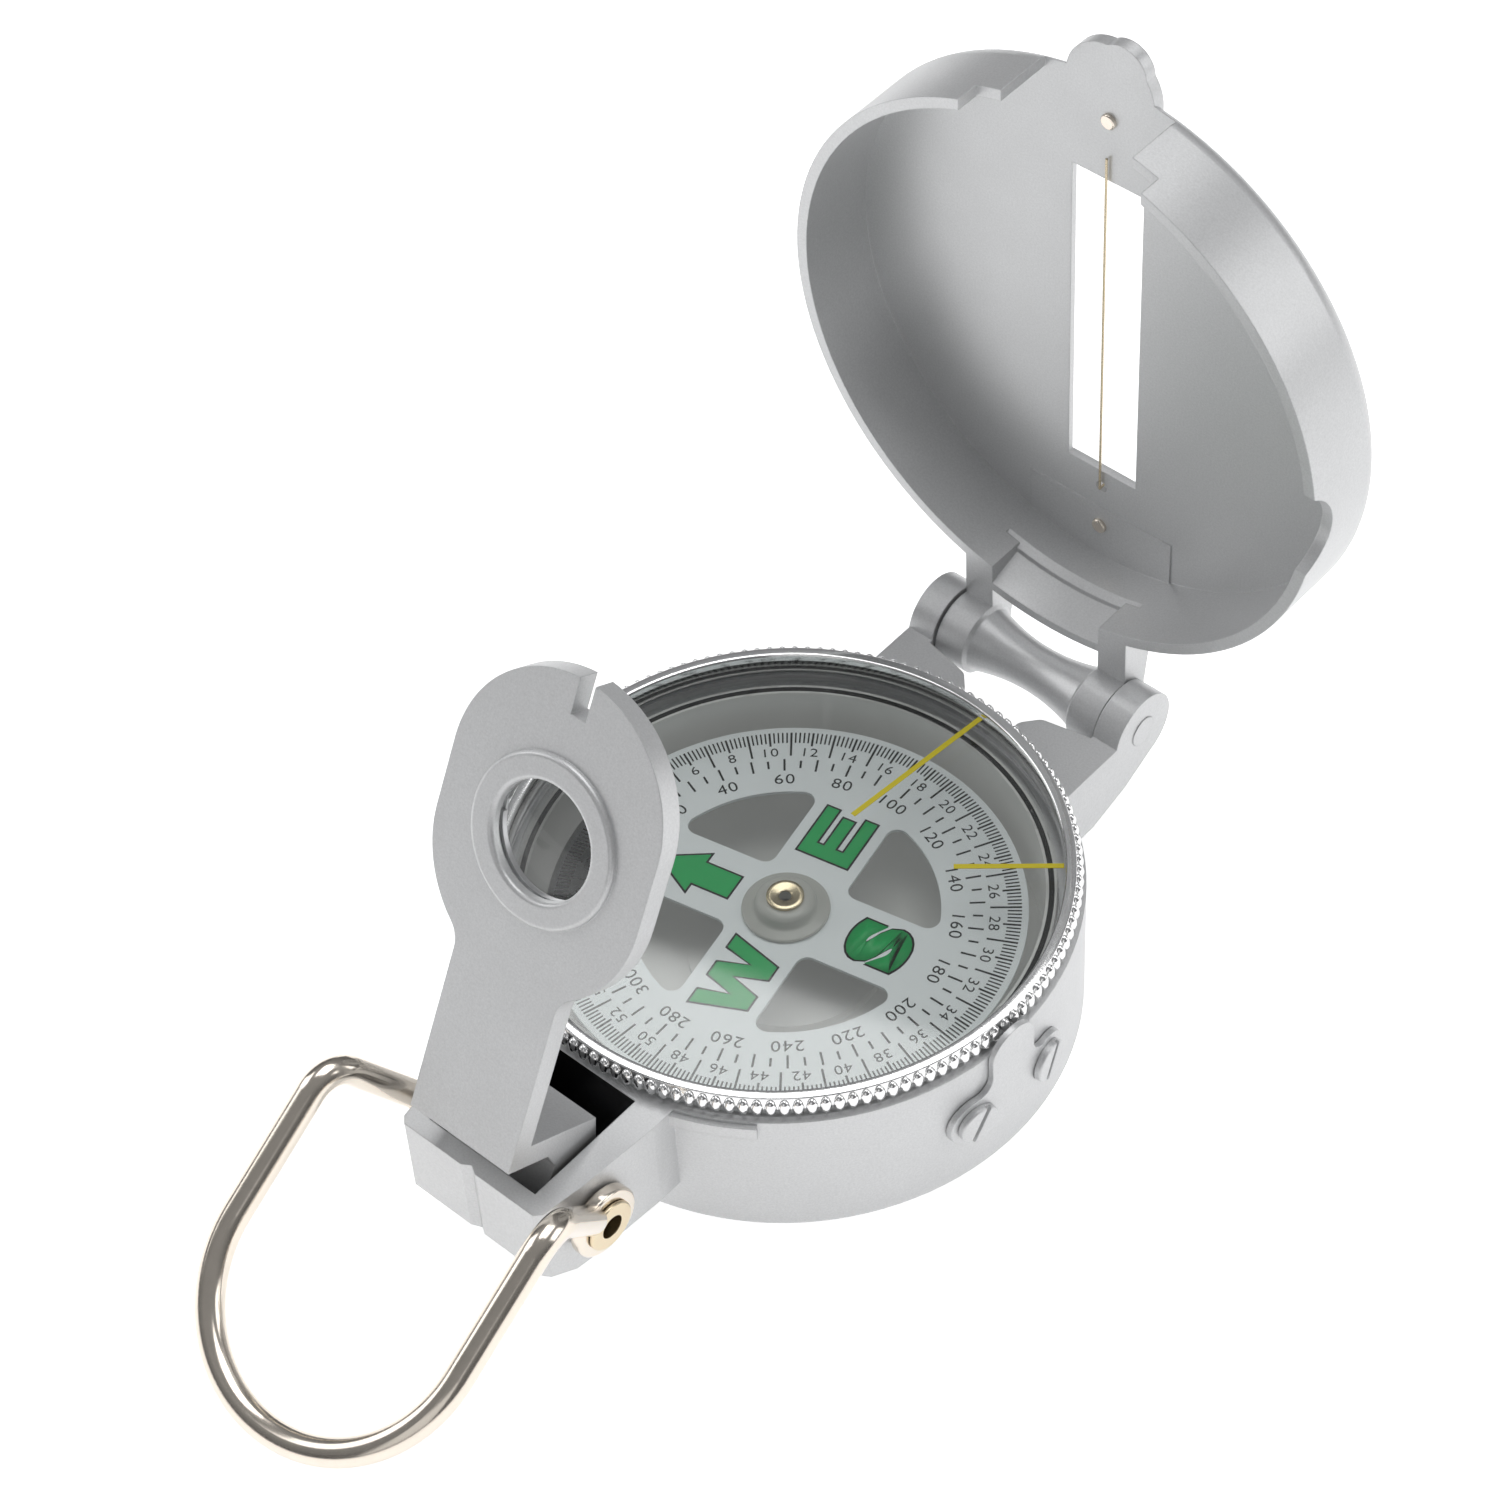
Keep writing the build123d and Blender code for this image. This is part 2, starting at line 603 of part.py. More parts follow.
def barrel():
    """The hourglass hinge barrel with its two end flanges and arms."""
    neck = BARREL_HALF - FLANGE_W
    bell = (neck - BELL_STEP, BARREL_BELL_R)
    waist = ThreePointArc((-neck + BELL_STEP, BARREL_BELL_R), (0, BARREL_WAIST_R), bell)
    left = Polyline(
        (-neck + BELL_STEP, BARREL_BELL_R), (-neck, BARREL_R), (-BARREL_HALF, BARREL_R), (-BARREL_HALF, 0),
    )
    right = Polyline(
        (neck - BELL_STEP, BARREL_BELL_R), (neck, BARREL_R), (BARREL_HALF, BARREL_R), (BARREL_HALF, 0),
    )
    base_line = Line((-BARREL_HALF, 0), (BARREL_HALF, 0))
    body = revolve(make_face(Curve() + [waist, left, right, base_line]), Axis.X)
    arm = side_slab(
        BARREL_HALF,
        (COVER_IN_R - 1.6, COVER_RIM_Z), (HINGE_Y, COVER_RIM_Z), (HINGE_Y + 0.6, HINGE_Z + BARREL_R),
        (COVER_IN_R, COVER_RIM_Z + COVER_ARM_T), (COVER_IN_R - 1.6, COVER_RIM_Z + COVER_ARM_T),
        low=neck,
    )
    arm -= Pos(0, COVER_SHIFT, 0) * disc(COVER_IN_R, 0, COVER_TOP_Z)
    return Pos(0, HINGE_Y, HINGE_Z) * body + both_sides(arm)


def make_cover_shut():
    far = COVER_R + 5
    body = cover_shell() + hinge_bulge() - hinge_pocket()
    body -= block(-MOUTH_HALF, MOUTH_HALF, -far, -COVER_R / 2, COVER_RIM_Z - 1, COVER_FLOOR_Z)
    notch_half = BOX_OUT + BOX_FLARE + FREE_GAP
    body -= block(-notch_half, notch_half, -far, -COVER_R / 2, COVER_RIM_Z - 1, BASE_H + FREE_GAP)
    lift = NOTCH_R - NOTCH_DEPTH
    body -= rod_x(NOTCH_R, COVER_R / 2, far, NOTCH_Y, COVER_RIM_Z - lift)
    body += cover_tab()
    pad = disc(COVER_IN_R + 0.2, COVER_FLOOR_Z - PAD_H, COVER_FLOOR_Z + 0.1)
    body += pad & block(-PAD_HALF, PAD_HALF, PAD_FROM, far, 0, COVER_TOP_Z)
    slot_low = COVER_FLOOR_Z - PAD_H - 1
    body -= block(-SLOT_HALF, SLOT_HALF, -SLOT_NEAR, SLOT_FAR, slot_low, COVER_TOP_Z + 1)
    wide = SLOT_HALF + SLOT_BEVEL
    body -= block(
        -wide, wide, -SLOT_NEAR - SLOT_BEVEL, SLOT_FAR + SLOT_BEVEL,
        COVER_FLOOR_Z + COVER_TOP_T / 2, COVER_TOP_Z + 1)
    body -= Pos(0, WIRE_FAR, 0) * disc(WIRE_HOLE_R, slot_low, COVER_TOP_Z + 1)
    body = Pos(0, COVER_SHIFT, 0) * body + barrel()
    return body - rod_x(HINGE_PIN_R + RUN_GAP, -EAR_OUTER, EAR_OUTER, HINGE_Y, HINGE_Z)


def make_wire_shut():
    """The sighting wire: along the slot just inside the floor, its far end turned into the hole."""
    z = COVER_FLOOR_Z - PAD_H - WIRE_R - 0.02
    span = extrude(Plane((0, -WIRE_NEAR, z), x_dir=(1, 0, 0), z_dir=(0, 1, 0)) * Circle(WIRE_R),
                   WIRE_NEAR + WIRE_FAR)
    tail = Pos(0, WIRE_FAR, 0) * disc(WIRE_R, z, z + COVER_TOP_T * 0.8)
    return Pos(0, COVER_SHIFT, 0) * (span + tail + Pos(0, WIRE_FAR, z) * Sphere(WIRE_R))


def make_rivets_shut():
    rivets = []
    for y, face in ((-RIVET_NEAR, COVER_FLOOR_Z), (RIVET_FAR, COVER_FLOOR_Z - PAD_H)):
        head = Pos(0, y, 0) * disc(RIVET_R, face - RIVET_H, face)
        rim = head.edges().group_by(Axis.Z)[0]
        rivets.append(fillet(rim, RIVET_H * 0.5))
    return Pos(0, COVER_SHIFT, 0) * Compound(children=rivets)


def make_hinge_pin():
    return rod_x(HINGE_PIN_R, -EAR_OUTER - 0.1, EAR_OUTER + 0.1, HINGE_Y, HINGE_Z)


# ------------------------------------------------------------------ eye bracket

def paddle_outline():
    """The flat outline in (x, y) with the heel at y = 0."""
    far_centre = PADDLE_L - PADDLE_R
    near_centre = far_centre - PADDLE_FLAT
    leaf = Pos(0, far_centre) * Circle(PADDLE_R) + Pos(0, near_centre) * Circle(PADDLE_R)
    leaf += Pos(0, (far_centre + near_centre) / 2) * Rectangle(2 * PADDLE_R, PADDLE_FLAT)
    leaf += Pos(0, near_centre / 2) * Rectangle(2 * STEM_HALF, near_centre)
    meet = near_centre - math.sqrt(PADDLE_R ** 2 - STEM_HALF ** 2)
    necks = [leaf.vertices().sort_by_distance((side * STEM_HALF, meet))[0] for side in (-1, 1)]
    return fillet(necks, NECK_ROUND)


def make_bracket_folded():
    plate = Pos(0, HEEL_Y, 0) * raised(paddle_outline(), PLATE_LOW_Z, PLATE_TOP_Z)
    ring_y = HEEL_Y + RING_AT
    ring = Pos(0, ring_y, 0) * tube(RING_R, LENS_HOLE_R, PLATE_TOP_Z - 0.1, PLATE_TOP_Z + RING_H)
    rims = ring.edges().filter_by(GeomType.CIRCLE).group_by(Axis.Z)[-1]
    ring = fillet(rims, RING_H * 0.8)
    p_y, p_z = PIVOT_Y, PIVOT_Z
    foot = side_slab(
        STEM_HALF,
        (HEEL_Y, PLATE_TOP_Z), (HEEL_Y, p_z + FOOT_LOW), (p_y + FOOT_TOE, p_z - KNUCKLE_R * 0.94), (p_y, p_z),
        (p_y, p_z + KNUCKLE_R), (HEEL_Y - PLATE_T - FOOT_CHAMFER, p_z + KNUCKLE_R),
        (HEEL_Y - PLATE_T, p_z + KNUCKLE_R + FOOT_CHAMFER), (HEEL_Y - PLATE_T, PLATE_TOP_Z),
    )
    body = plate + ring + foot + rod_x(KNUCKLE_R, -KNUCKLE_HALF, KNUCKLE_HALF, p_y, p_z)
    body -= Pos(0, ring_y, 0) * disc(LENS_HOLE_R, PLATE_LOW_Z - 1, PLATE_TOP_Z + 2)
    body -= Pos(0, ring_y, 0) * disc(LENS_R, PLATE_LOW_Z - 1, PLATE_TOP_Z - LENS_LIP)
    groove_z = PLATE_TOP_Z - LENS_LIP - LENS_EDGE - 2 * SNAP_R
    body -= Pos(0, ring_y, 0) * disc(LENS_R + SNAP_R, groove_z, groove_z + 2 * SNAP_R)
    tip = HEEL_Y + PADDLE_L
    body -= block(-SIGHT_HALF, SIGHT_HALF, tip - SIGHT_L, tip + 1, PLATE_LOW_Z - 1, PLATE_TOP_Z + 1)
    body -= rod_x(RIVET_TUBE_R + RUN_GAP, -BOX_OUT, BOX_OUT, p_y, p_z)
    return body


def make_lens_folded():
    """A flat-backed magnifier with a domed face towards the eye."""
    low = PLATE_TOP_Z - LENS_LIP - LENS_EDGE
    edge_r = LENS_R - SEAT_GAP
    dome_r = LENS_HOLE_R - SEAT_GAP
    sphere_r = (dome_r ** 2 + LENS_DOME ** 2) / (2 * LENS_DOME)
    body = disc(edge_r, low, low + LENS_EDGE)
    dome = Pos(0, 0, low + LENS_EDGE + LENS_DOME - sphere_r) * Sphere(sphere_r)
    cap = dome & disc(dome_r + 0.5, low + LENS_EDGE, low + LENS_EDGE + 2 * LENS_DOME)
    return Pos(0, HEEL_Y + RING_AT, 0) * (body + cap)


def make_snap_ring_folded():
    groove_z = PLATE_TOP_Z - LENS_LIP - LENS_EDGE - 2 * SNAP_R
    ring = tube(LENS_R + SNAP_R - 0.02, LENS_R - SNAP_R, groove_z + 0.02, groove_z + 2 * SNAP_R - 0.02)
    gap = block(-LENS_R - 1, 0, -0.6, 0.6, groove_z - 1, groove_z + 2)
    return Pos(0, HEEL_Y + RING_AT, 0) * (ring - gap)


def make_bracket_rivet():
    """The tubular rivet through the box, the knuckle and both loop eyelets."""
    tube_body = rod_x(RIVET_TUBE_R, -RIVET_END, RIVET_END, PIVOT_Y, PIVOT_Z)
    head = rod_x(RIVET_HEAD_R, RIVET_END, RIVET_END + RIVET_HEAD_T, PIVOT_Y, PIVOT_Z)
    edge = head.edges().filter_by(GeomType.CIRCLE).sort_by(Axis.X)[-1:]
    head = fillet(edge, RIVET_HEAD_T * 0.6)
    body = tube_body + both_sides(head)
    return body - rod_x(RIVET_HOLE_R, -2 * BOX_OUT, 2 * BOX_OUT, PIVOT_Y, PIVOT_Z)


def make_detent_spring():
    """A bent leaf under and behind the knuckle."""
    floor = BOX_LOW + BOX_FLOOR
    run = block(-SPRING_HALF, SPRING_HALF, BOX_BACK, -BASE_R - 2.5, floor, floor + SPRING_T)
    leg = block(-SPRING_HALF, SPRING_HALF, BOX_BACK, BOX_BACK + SPRING_T, floor, floor + SPRING_RISE)
    return run + leg


# ------------------------------------------------------------------ thumb loop

def along(angle, length):
    """A step in the (y, z) plane at an angle from +Y."""
    return length * math.cos(math.radians(angle)), length * math.sin(math.radians(angle))


def make_thumb_loop():
    """One bent wire: two arms up from the eyelets, then a round-ended loop set square to them."""
    arm_dy, arm_dz = along(ARM_ANGLE, ARM_UP)
    start_dy, start_dz = along(ARM_ANGLE, WIRE_START)
    end_dy, end_dz = along(LOOP_ANGLE, LOOP_L)
    start_x = EYELET_IN + LOOP_WIRE_R
    side = [
        (start_x, PIVOT_Y + start_dy, PIVOT_Z + start_dz),
        (LOOP_HALF, PIVOT_Y + arm_dy, PIVOT_Z + arm_dz),
        (LOOP_HALF, PIVOT_Y + arm_dy + end_dy, PIVOT_Z + arm_dz + end_dz),
    ]
    points = side + [(-x, y, z) for x, y, z in reversed(side)]
    end_round = LOOP_HALF - 0.1
    path = FilletPolyline(*points, radius=[BEND_R, end_round, end_round, BEND_R])
    section = Plane(origin=path @ 0, z_dir=path % 0) * Circle(LOOP_WIRE_R)
    wire = sweep(section, path=path)
    eyelet = rod_x(EYELET_R, EYELET_IN, EYELET_OUT, PIVOT_Y, PIVOT_Z)
    edges = eyelet.edges().filter_by(GeomType.CIRCLE)
    eyelet = fillet(edges, EYELET_T * 0.25)
    body = wire + both_sides(eyelet)
    inside = block(-EYELET_IN, EYELET_IN, PIVOT_Y - 8, PIVOT_Y + 8, PIVOT_Z - 8, BOX_TOP + 1)
    outside = block(EYELET_OUT, EYELET_OUT + 4, PIVOT_Y - 2.4, PIVOT_Y + 5, PIVOT_Z - 5, PIVOT_Z + 2.4)
    body = body - inside - both_sides(outside)
    return body - rod_x(RIVET_TUBE_R + RUN_GAP, -2 * BOX_OUT, 2 * BOX_OUT, PIVOT_Y, PIVOT_Z)


# ------------------------------------------------------------------ placing and writing

def opened(shape):
    """Swing a cover piece from shut to the open pose."""
    return shape.rotate(HINGE_AXIS, OPEN_ANGLE)


def unfolded(shape):
    """Swing an eye bracket piece from folded to the raised pose."""
    return shape.rotate(PIVOT_AXIS, UNFOLD_ANGLE)


def dial_placed(shape):
    """Turn a dial piece so that its north mark, drawn towards +Y, points where the dial has settled."""
    return Rot(0, 0, NORTH_ANGLE - 90) * shape


def main():
    os.makedirs("parts", exist_ok=True)
    save(make_base(), "base_casting")
    save(disc(CAPSULE_SEAT_R - SEAT_GAP, BASE_FLOOR, CAPSULE_LOW), "reflector_disc")
    save(make_clip_plate(), "clip_plate")
    save(make_clip_screws(), "clip_screws")
    save(make_capsule_bowl(), "capsule_bowl")
    save(make_capsule_seal(), "capsule_seal")
    save(disc(CAPSULE_R, LID_LOW, CAPSULE_TOP), "capsule_lid")
    save(make_pivot_post(), "pivot_post")
    save(dial_placed(make_dial_card()), "dial_card")
    save(dial_placed(make_dial_hub()), "dial_hub")
    save(dial_placed(make_dial_cap()), "dial_cap")
    save(dial_placed(make_dial_magnet()), "dial_magnet")
    save(make_bezel_ring(), "bezel_ring")
    save(make_retaining_ring(), "bezel_retaining_ring")
    save(make_bezel_glass(), "bezel_glass")
    save(make_luminous_lines(), "luminous_lines")
    save(make_hinge_pin(), "hinge_pin")
    save(opened(make_cover_shut()), "cover_casting")
    save(opened(make_wire_shut()), "sighting_wire")
    save(opened(make_rivets_shut()), "sight_rivets")
    save(unfolded(make_bracket_folded()), "eye_bracket")
    save(unfolded(make_lens_folded()), "magnifier_lens")
    save(unfolded(make_snap_ring_folded()), "lens_snap_ring")
    save(make_bracket_rivet(), "bracket_rivet")
    save(make_detent_spring(), "detent_spring")
    save(make_thumb_loop(), "thumb_loop")


main()
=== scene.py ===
"""The looks of a folding sighting compass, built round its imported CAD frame.

Every size is in metres and every piece sits in the frame of the CAD part: the origin is the
centre of the case's underside, +Z is up, +Y points to the cover hinge and +X to the clip.
"""

import math

import bmesh
import bpy
from bpy.props import FloatProperty, FloatVectorProperty, IntProperty, PointerProperty
from mathutils import Matrix, Vector
from mathutils.geometry import tessellate_polygon


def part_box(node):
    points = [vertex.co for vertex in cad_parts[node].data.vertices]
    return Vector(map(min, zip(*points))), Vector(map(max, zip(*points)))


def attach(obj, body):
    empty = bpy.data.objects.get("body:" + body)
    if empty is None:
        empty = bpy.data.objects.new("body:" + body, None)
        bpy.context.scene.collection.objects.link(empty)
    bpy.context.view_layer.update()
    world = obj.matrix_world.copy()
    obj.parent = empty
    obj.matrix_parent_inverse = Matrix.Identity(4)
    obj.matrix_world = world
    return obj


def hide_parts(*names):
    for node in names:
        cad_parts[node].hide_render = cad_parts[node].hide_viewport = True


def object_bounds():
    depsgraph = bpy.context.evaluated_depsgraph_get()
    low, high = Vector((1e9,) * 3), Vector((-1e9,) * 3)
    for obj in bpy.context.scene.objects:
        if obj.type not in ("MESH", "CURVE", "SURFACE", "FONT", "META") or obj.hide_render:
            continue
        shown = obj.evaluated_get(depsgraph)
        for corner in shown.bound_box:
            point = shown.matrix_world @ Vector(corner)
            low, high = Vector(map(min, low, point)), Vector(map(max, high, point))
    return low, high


bl_info = {
    "name": "Sighting compass looks",
    "version": (1, 0, 0),
    "blender": (4, 5, 0),
    "location": "View3D > Sidebar > Compass",
    "description": "Builds the visible pieces and finishes of a folding sighting compass",
    "category": "Object",
}

MM = 0.001

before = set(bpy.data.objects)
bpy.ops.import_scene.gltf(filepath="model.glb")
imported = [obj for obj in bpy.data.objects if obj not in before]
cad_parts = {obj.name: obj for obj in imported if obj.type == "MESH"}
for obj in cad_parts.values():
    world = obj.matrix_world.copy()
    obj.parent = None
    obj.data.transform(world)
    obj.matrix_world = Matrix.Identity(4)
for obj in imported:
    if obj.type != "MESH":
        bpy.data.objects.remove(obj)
CAD_BOX = [list(corner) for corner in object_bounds()]
DIAL_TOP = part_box("dial_card")[1].z
BEZEL_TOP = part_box("bezel_ring")[1].z
BEZEL_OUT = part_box("bezel_ring")[1].x
GLASS_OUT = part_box("bezel_glass")[1].x
HUB_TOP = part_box("dial_hub")[1].z

# The dial is drawn with north towards +Y; this turn brings north to where the dial has settled.
DIAL_ANGLE = math.radians(101.4)
DIAL_TURN = Matrix.Rotation(DIAL_ANGLE, 4, "Z")


# ---------------------------------------------------------------- sizes and colours

def length(label, note, millimetres):
    return FloatProperty(
        name=label, description=note, default=millimetres * MM, unit="LENGTH", precision=5)


def colour(label, note, value):
    return FloatVectorProperty(
        name=label, description=note, default=value, subtype="COLOR", size=3, min=0, max=1)


class BezelSizes(bpy.types.PropertyGroup):
    teeth: IntProperty(
        name="Teeth", description="Number of beads round the knurled rim", default=140, min=12)
    bead_half_height: length("Bead half height", "Half the height of one bead of the knurl", 0.93)
    bead_depth: length("Bead depth", "How far a bead stands proud of the rim behind it", 0.5)
    land: length("Land", "Width of the bright flat between the glass and the beads", 0.95)


class DialSizes(bpy.types.PropertyGroup):
    scale_radius: length("Scale radius", "Outer ends of the scale ticks", 20.8)
    fine_tick: length("Fine tick", "Length of a fine tick", 1.25)
    middle_tick: length("Middle tick", "Length of the tick above a mil number", 1.6)
    long_tick: length("Long tick", "Length of the tick between mil numbers", 2.8)
    degree_radius: length("Degree ticks", "Outer ends of the degree ticks", 17.6)
    degree_tick: length("Ten degree tick", "Length of a ten degree tick", 1.4)
    half_degree_tick: length("Five degree tick", "Length of a five degree tick", 0.9)
    tick_width: length("Tick width", "Width of a fine tick", 0.15)
    bold_width: length("Bold tick width", "Width of a long tick", 0.2)
    mil_height: length("Mil number height", "Height of the outer numbers", 0.98)
    mil_radius: length("Mil number radius", "Middle of the outer numbers", 18.45)
    degree_height: length("Degree number height", "Height of the inner numbers", 1.15)
    degree_number_radius: length("Degree number radius", "Middle of the inner numbers", 15.2)
    outline: length("Mark outline", "Width of the black line round the green marks", 0.2)
    print_thickness: length("Print thickness", "Thickness of the printed ink", 0.012)


class Finishes(bpy.types.PropertyGroup):
    paint: colour("Silver paint", "Colour of the painted castings", (0.64, 0.645, 0.65))
    card: colour("Dial card", "Colour of the dial card", (0.86, 0.89, 0.91))
    marks: colour("Marks", "Colour of the north arrow and the letters", (0.0, 0.42, 0.10))
    ink: colour("Ink", "Colour of the printed scales", (0.008, 0.008, 0.009))
    luminous: colour("Luminous paint", "Colour of the two bearing lines", (0.55, 0.46, 0.01))
    nickel: colour("Nickel", "Colour of the thumb loop", (0.80, 0.73, 0.64))
    brass: colour("Brass", "Colour of the wire, rivet and cap ring", (0.74, 0.63, 0.45))


def sizes(group):
    """The values of one property group on the scene."""
    return getattr(bpy.context.scene, group)


# ---------------------------------------------------------------- shader arithmetic

class Num:
    """A shader socket that takes part in ordinary arithmetic."""

    def __init__(self, finish, socket):
        self.finish = finish
        self.socket = socket

    def maths(self, operation, *values, clamp=False):
        return self.finish.node("ShaderNodeMath", {"operation": operation, "use_clamp": clamp}, *values)

    def __add__(self, other):
        return self.maths("ADD", self, other)

    def __sub__(self, other):
        return self.maths("SUBTRACT", self, other)

    def __rsub__(self, other):
        return self.maths("SUBTRACT", other, self)

    def __mul__(self, other):
        return self.maths("MULTIPLY", self, other)

    def __pow__(self, other):
        return self.maths("POWER", self, other)

    def above(self, other):
        return self.maths("GREATER_THAN", self, other)

    def below(self, other):
        return self.maths("LESS_THAN", self, other)

    def clamped(self):
        return self.maths("ADD", self, 0.0, clamp=True)

    __radd__ = __add__
    __rmul__ = __mul__


class Finish:
    """One procedural material under construction."""

    def __init__(self, name):
        self.material = bpy.data.materials.new("compass_" + name)
        self.material.use_nodes = True
        self.tree = self.material.node_tree
        self.tree.nodes.clear()
        self.output = self.tree.nodes.new("ShaderNodeOutputMaterial")
        self.place = self.tree.nodes.new("ShaderNodeTexCoord").outputs["Object"]

    def node(self, kind, settings, *values, out=0, **named):
        """Add a node: its settings first, then its sockets, by order or by name."""
        made = self.tree.nodes.new(kind)
        for key, value in settings.items():
            setattr(made, key, value)
        for key, value in list(enumerate(values)) + list(named.items()):
            socket = made.inputs[key.replace("_", " ") if isinstance(key, str) else key]
            if isinstance(value, Num):
                self.tree.links.new(value.socket, socket)
            elif isinstance(value, bpy.types.NodeSocket):
                self.tree.links.new(value, socket)
            elif value is not None:
                socket.default_value = value
        return Num(self, made.outputs[out])

    def noise(self, scale, detail=2.0, roughness=0.5):
        return self.node(
            "ShaderNodeTexNoise", {}, Vector=self.place, Scale=scale, Detail=detail, Roughness=roughness)

    def axis(self, name):
        return self.node("ShaderNodeSeparateXYZ", {}, self.place, out="XYZ".index(name))

    def blend(self, factor, first, second):
        """Mix two colours."""
        made = self.tree.nodes.new("ShaderNodeMix")
        made.data_type = "RGBA"
        for socket, value in ((made.inputs[0], factor), (made.inputs[6], first), (made.inputs[7], second)):
            if isinstance(value, Num):
                self.tree.links.new(value.socket, socket)
            else:
                socket.default_value = value
        return Num(self, made.outputs[2])

    def soft_edges(self, radius):
        return self.node("ShaderNodeBevel", {"samples": 4}, Radius=radius)

    def bump(self, height, distance, strength=1.0, normal=None):
        return self.node(
            "ShaderNodeBump", {}, Height=height, Distance=distance, Strength=strength, Normal=normal)

    def surface(self, **sockets):
        """A Principled surface."""
        return self.node("ShaderNodeBsdfPrincipled", {}, **sockets)

    def done(self, shader):
        self.tree.links.new(shader.socket, self.output.inputs["Surface"])
        return self.material


# The inside of the bracket box, which is painted black as shade in that recess.
WELL_HALF = 6.14 * MM
WELL_FRONT = -38.5 * MM
WELL_BACK = -25.9 * MM
WELL_TOP = 14.9 * MM
WELL_FLOOR = 5.0 * MM
WELL_PAINTED_SHADE = (0.006, 0.006, 0.007, 1.0)
FLOOR_HALF = 2.0
FLOOR_TONES = ((0.93, 0.93, 0.93, 1.0), (0.95, 0.95, 0.95, 1.0))


def rgba(value):
    return tuple(value) + (1.0,)


def shade(value, factor):
    return tuple(min(1.0, c * factor) for c in value) + (1.0,)


# ---------------------------------------------------------------- finishes

def silver_paint(name, well=False):
    """Satin silver paint with fine metal flake; inside the bracket box it is painted black as shade."""
    f = Finish(name)
    base = tuple(sizes("compass_finishes").paint)
    flake = f.noise(5200.0, 2.0, 0.7)
    cloud = f.noise(260.0, 3.0)
    shine = (flake * 1.6 - 0.3).clamped()
    tone = f.blend(shine, shade(base, 0.86), shade(base, 1.10))
    tone = f.blend(cloud * 0.35, tone, shade(base, 0.90))
    rough = 0.30 + cloud * 0.08 + flake * 0.08
    metal = 0.55
    # Painted shade: inside the bracket box the paint turns black, glossier and not metallic, standing in
    # for the shade in that recess.
    if well:
        x, y, z = (f.axis(a) for a in "XYZ")
        inside = x.below(WELL_HALF) * x.above(-WELL_HALF)
        inside = inside * y.above(WELL_FRONT) * y.below(WELL_BACK)
        inside = inside * z.below(WELL_TOP) * z.above(WELL_FLOOR)
        tone = f.blend(inside, tone, WELL_PAINTED_SHADE)
        rough = rough - inside * 0.08
        metal = 0.55 - inside * 0.55
    normal = f.bump(flake, 0.018 * MM, 0.55, f.soft_edges(0.16 * MM))
    return f.done(f.surface(Base_Color=tone, Metallic=metal, Roughness=rough, Normal=normal))


def plated(name, base, roughness, streak=0.05, edge=0.1):
    """A bright plated metal with a faint polishing haze."""
    f = Finish(name)
    haze = f.noise(900.0, 3.0)
    fine = f.noise(6000.0, 2.0)
    tone = f.blend(haze, shade(base, 0.93), shade(base, 1.04))
    normal = f.bump(fine, 0.004 * MM, 0.5, f.soft_edges(edge * MM))
    rough = roughness + haze * streak
    return f.done(f.surface(Base_Color=tone, Metallic=1.0, Roughness=rough, Normal=normal))


def clear(name, tint, gloss=1.0):
    """Clear glass or plastic: what is behind shows straight through, and glancing faces mirror."""
    f = Finish(name)
    facing = f.node("ShaderNodeLayerWeight", {}, Blend=0.5, out=1)
    mirror = (((facing ** 5) * 0.9 + 0.02) * gloss).clamped()
    haze = f.noise(300.0, 2.0)
    see = f.node("ShaderNodeBsdfTransparent", {}, rgba(tint))
    gleam = f.surface(Base_Color=(1, 1, 1, 1), Metallic=1.0, Roughness=0.03 + haze * 0.02)
    return f.done(f.node("ShaderNodeMixShader", {}, mirror, see, gleam))


def milky(name, base):
    """Pale moulded plastic; a faint painted glow stands in for the light it lets through."""
    f = Finish(name)
    cloud = f.noise(180.0, 2.0)
    tone = f.blend(cloud, shade(base, 0.93), shade(base, 1.05))
    rough = 0.22 + cloud * 0.06
    # Painted light: the faint emission makes the plastic glow, in place of light passing through it.
    glow = f.surface(Base_Color=tone, Roughness=rough, Emission_Color=tone, Emission_Strength=0.12)
    return f.done(glow)


def printed(name, base, roughness=0.45, variation=0.06):
    """Flat ink, paint or card with a slight unevenness."""
    f = Finish(name)
    grain = f.noise(3500.0, 3.0, 0.6)
    cloud = f.noise(350.0, 2.0)
    tone = f.blend(grain * 0.6 + cloud * 0.4, shade(base, 1 - variation), shade(base, 1 + variation))
    normal = f.bump(grain, 0.004 * MM, 0.4)
    return f.done(f.surface(Base_Color=tone, Roughness=roughness + cloud * 0.08, Normal=normal))


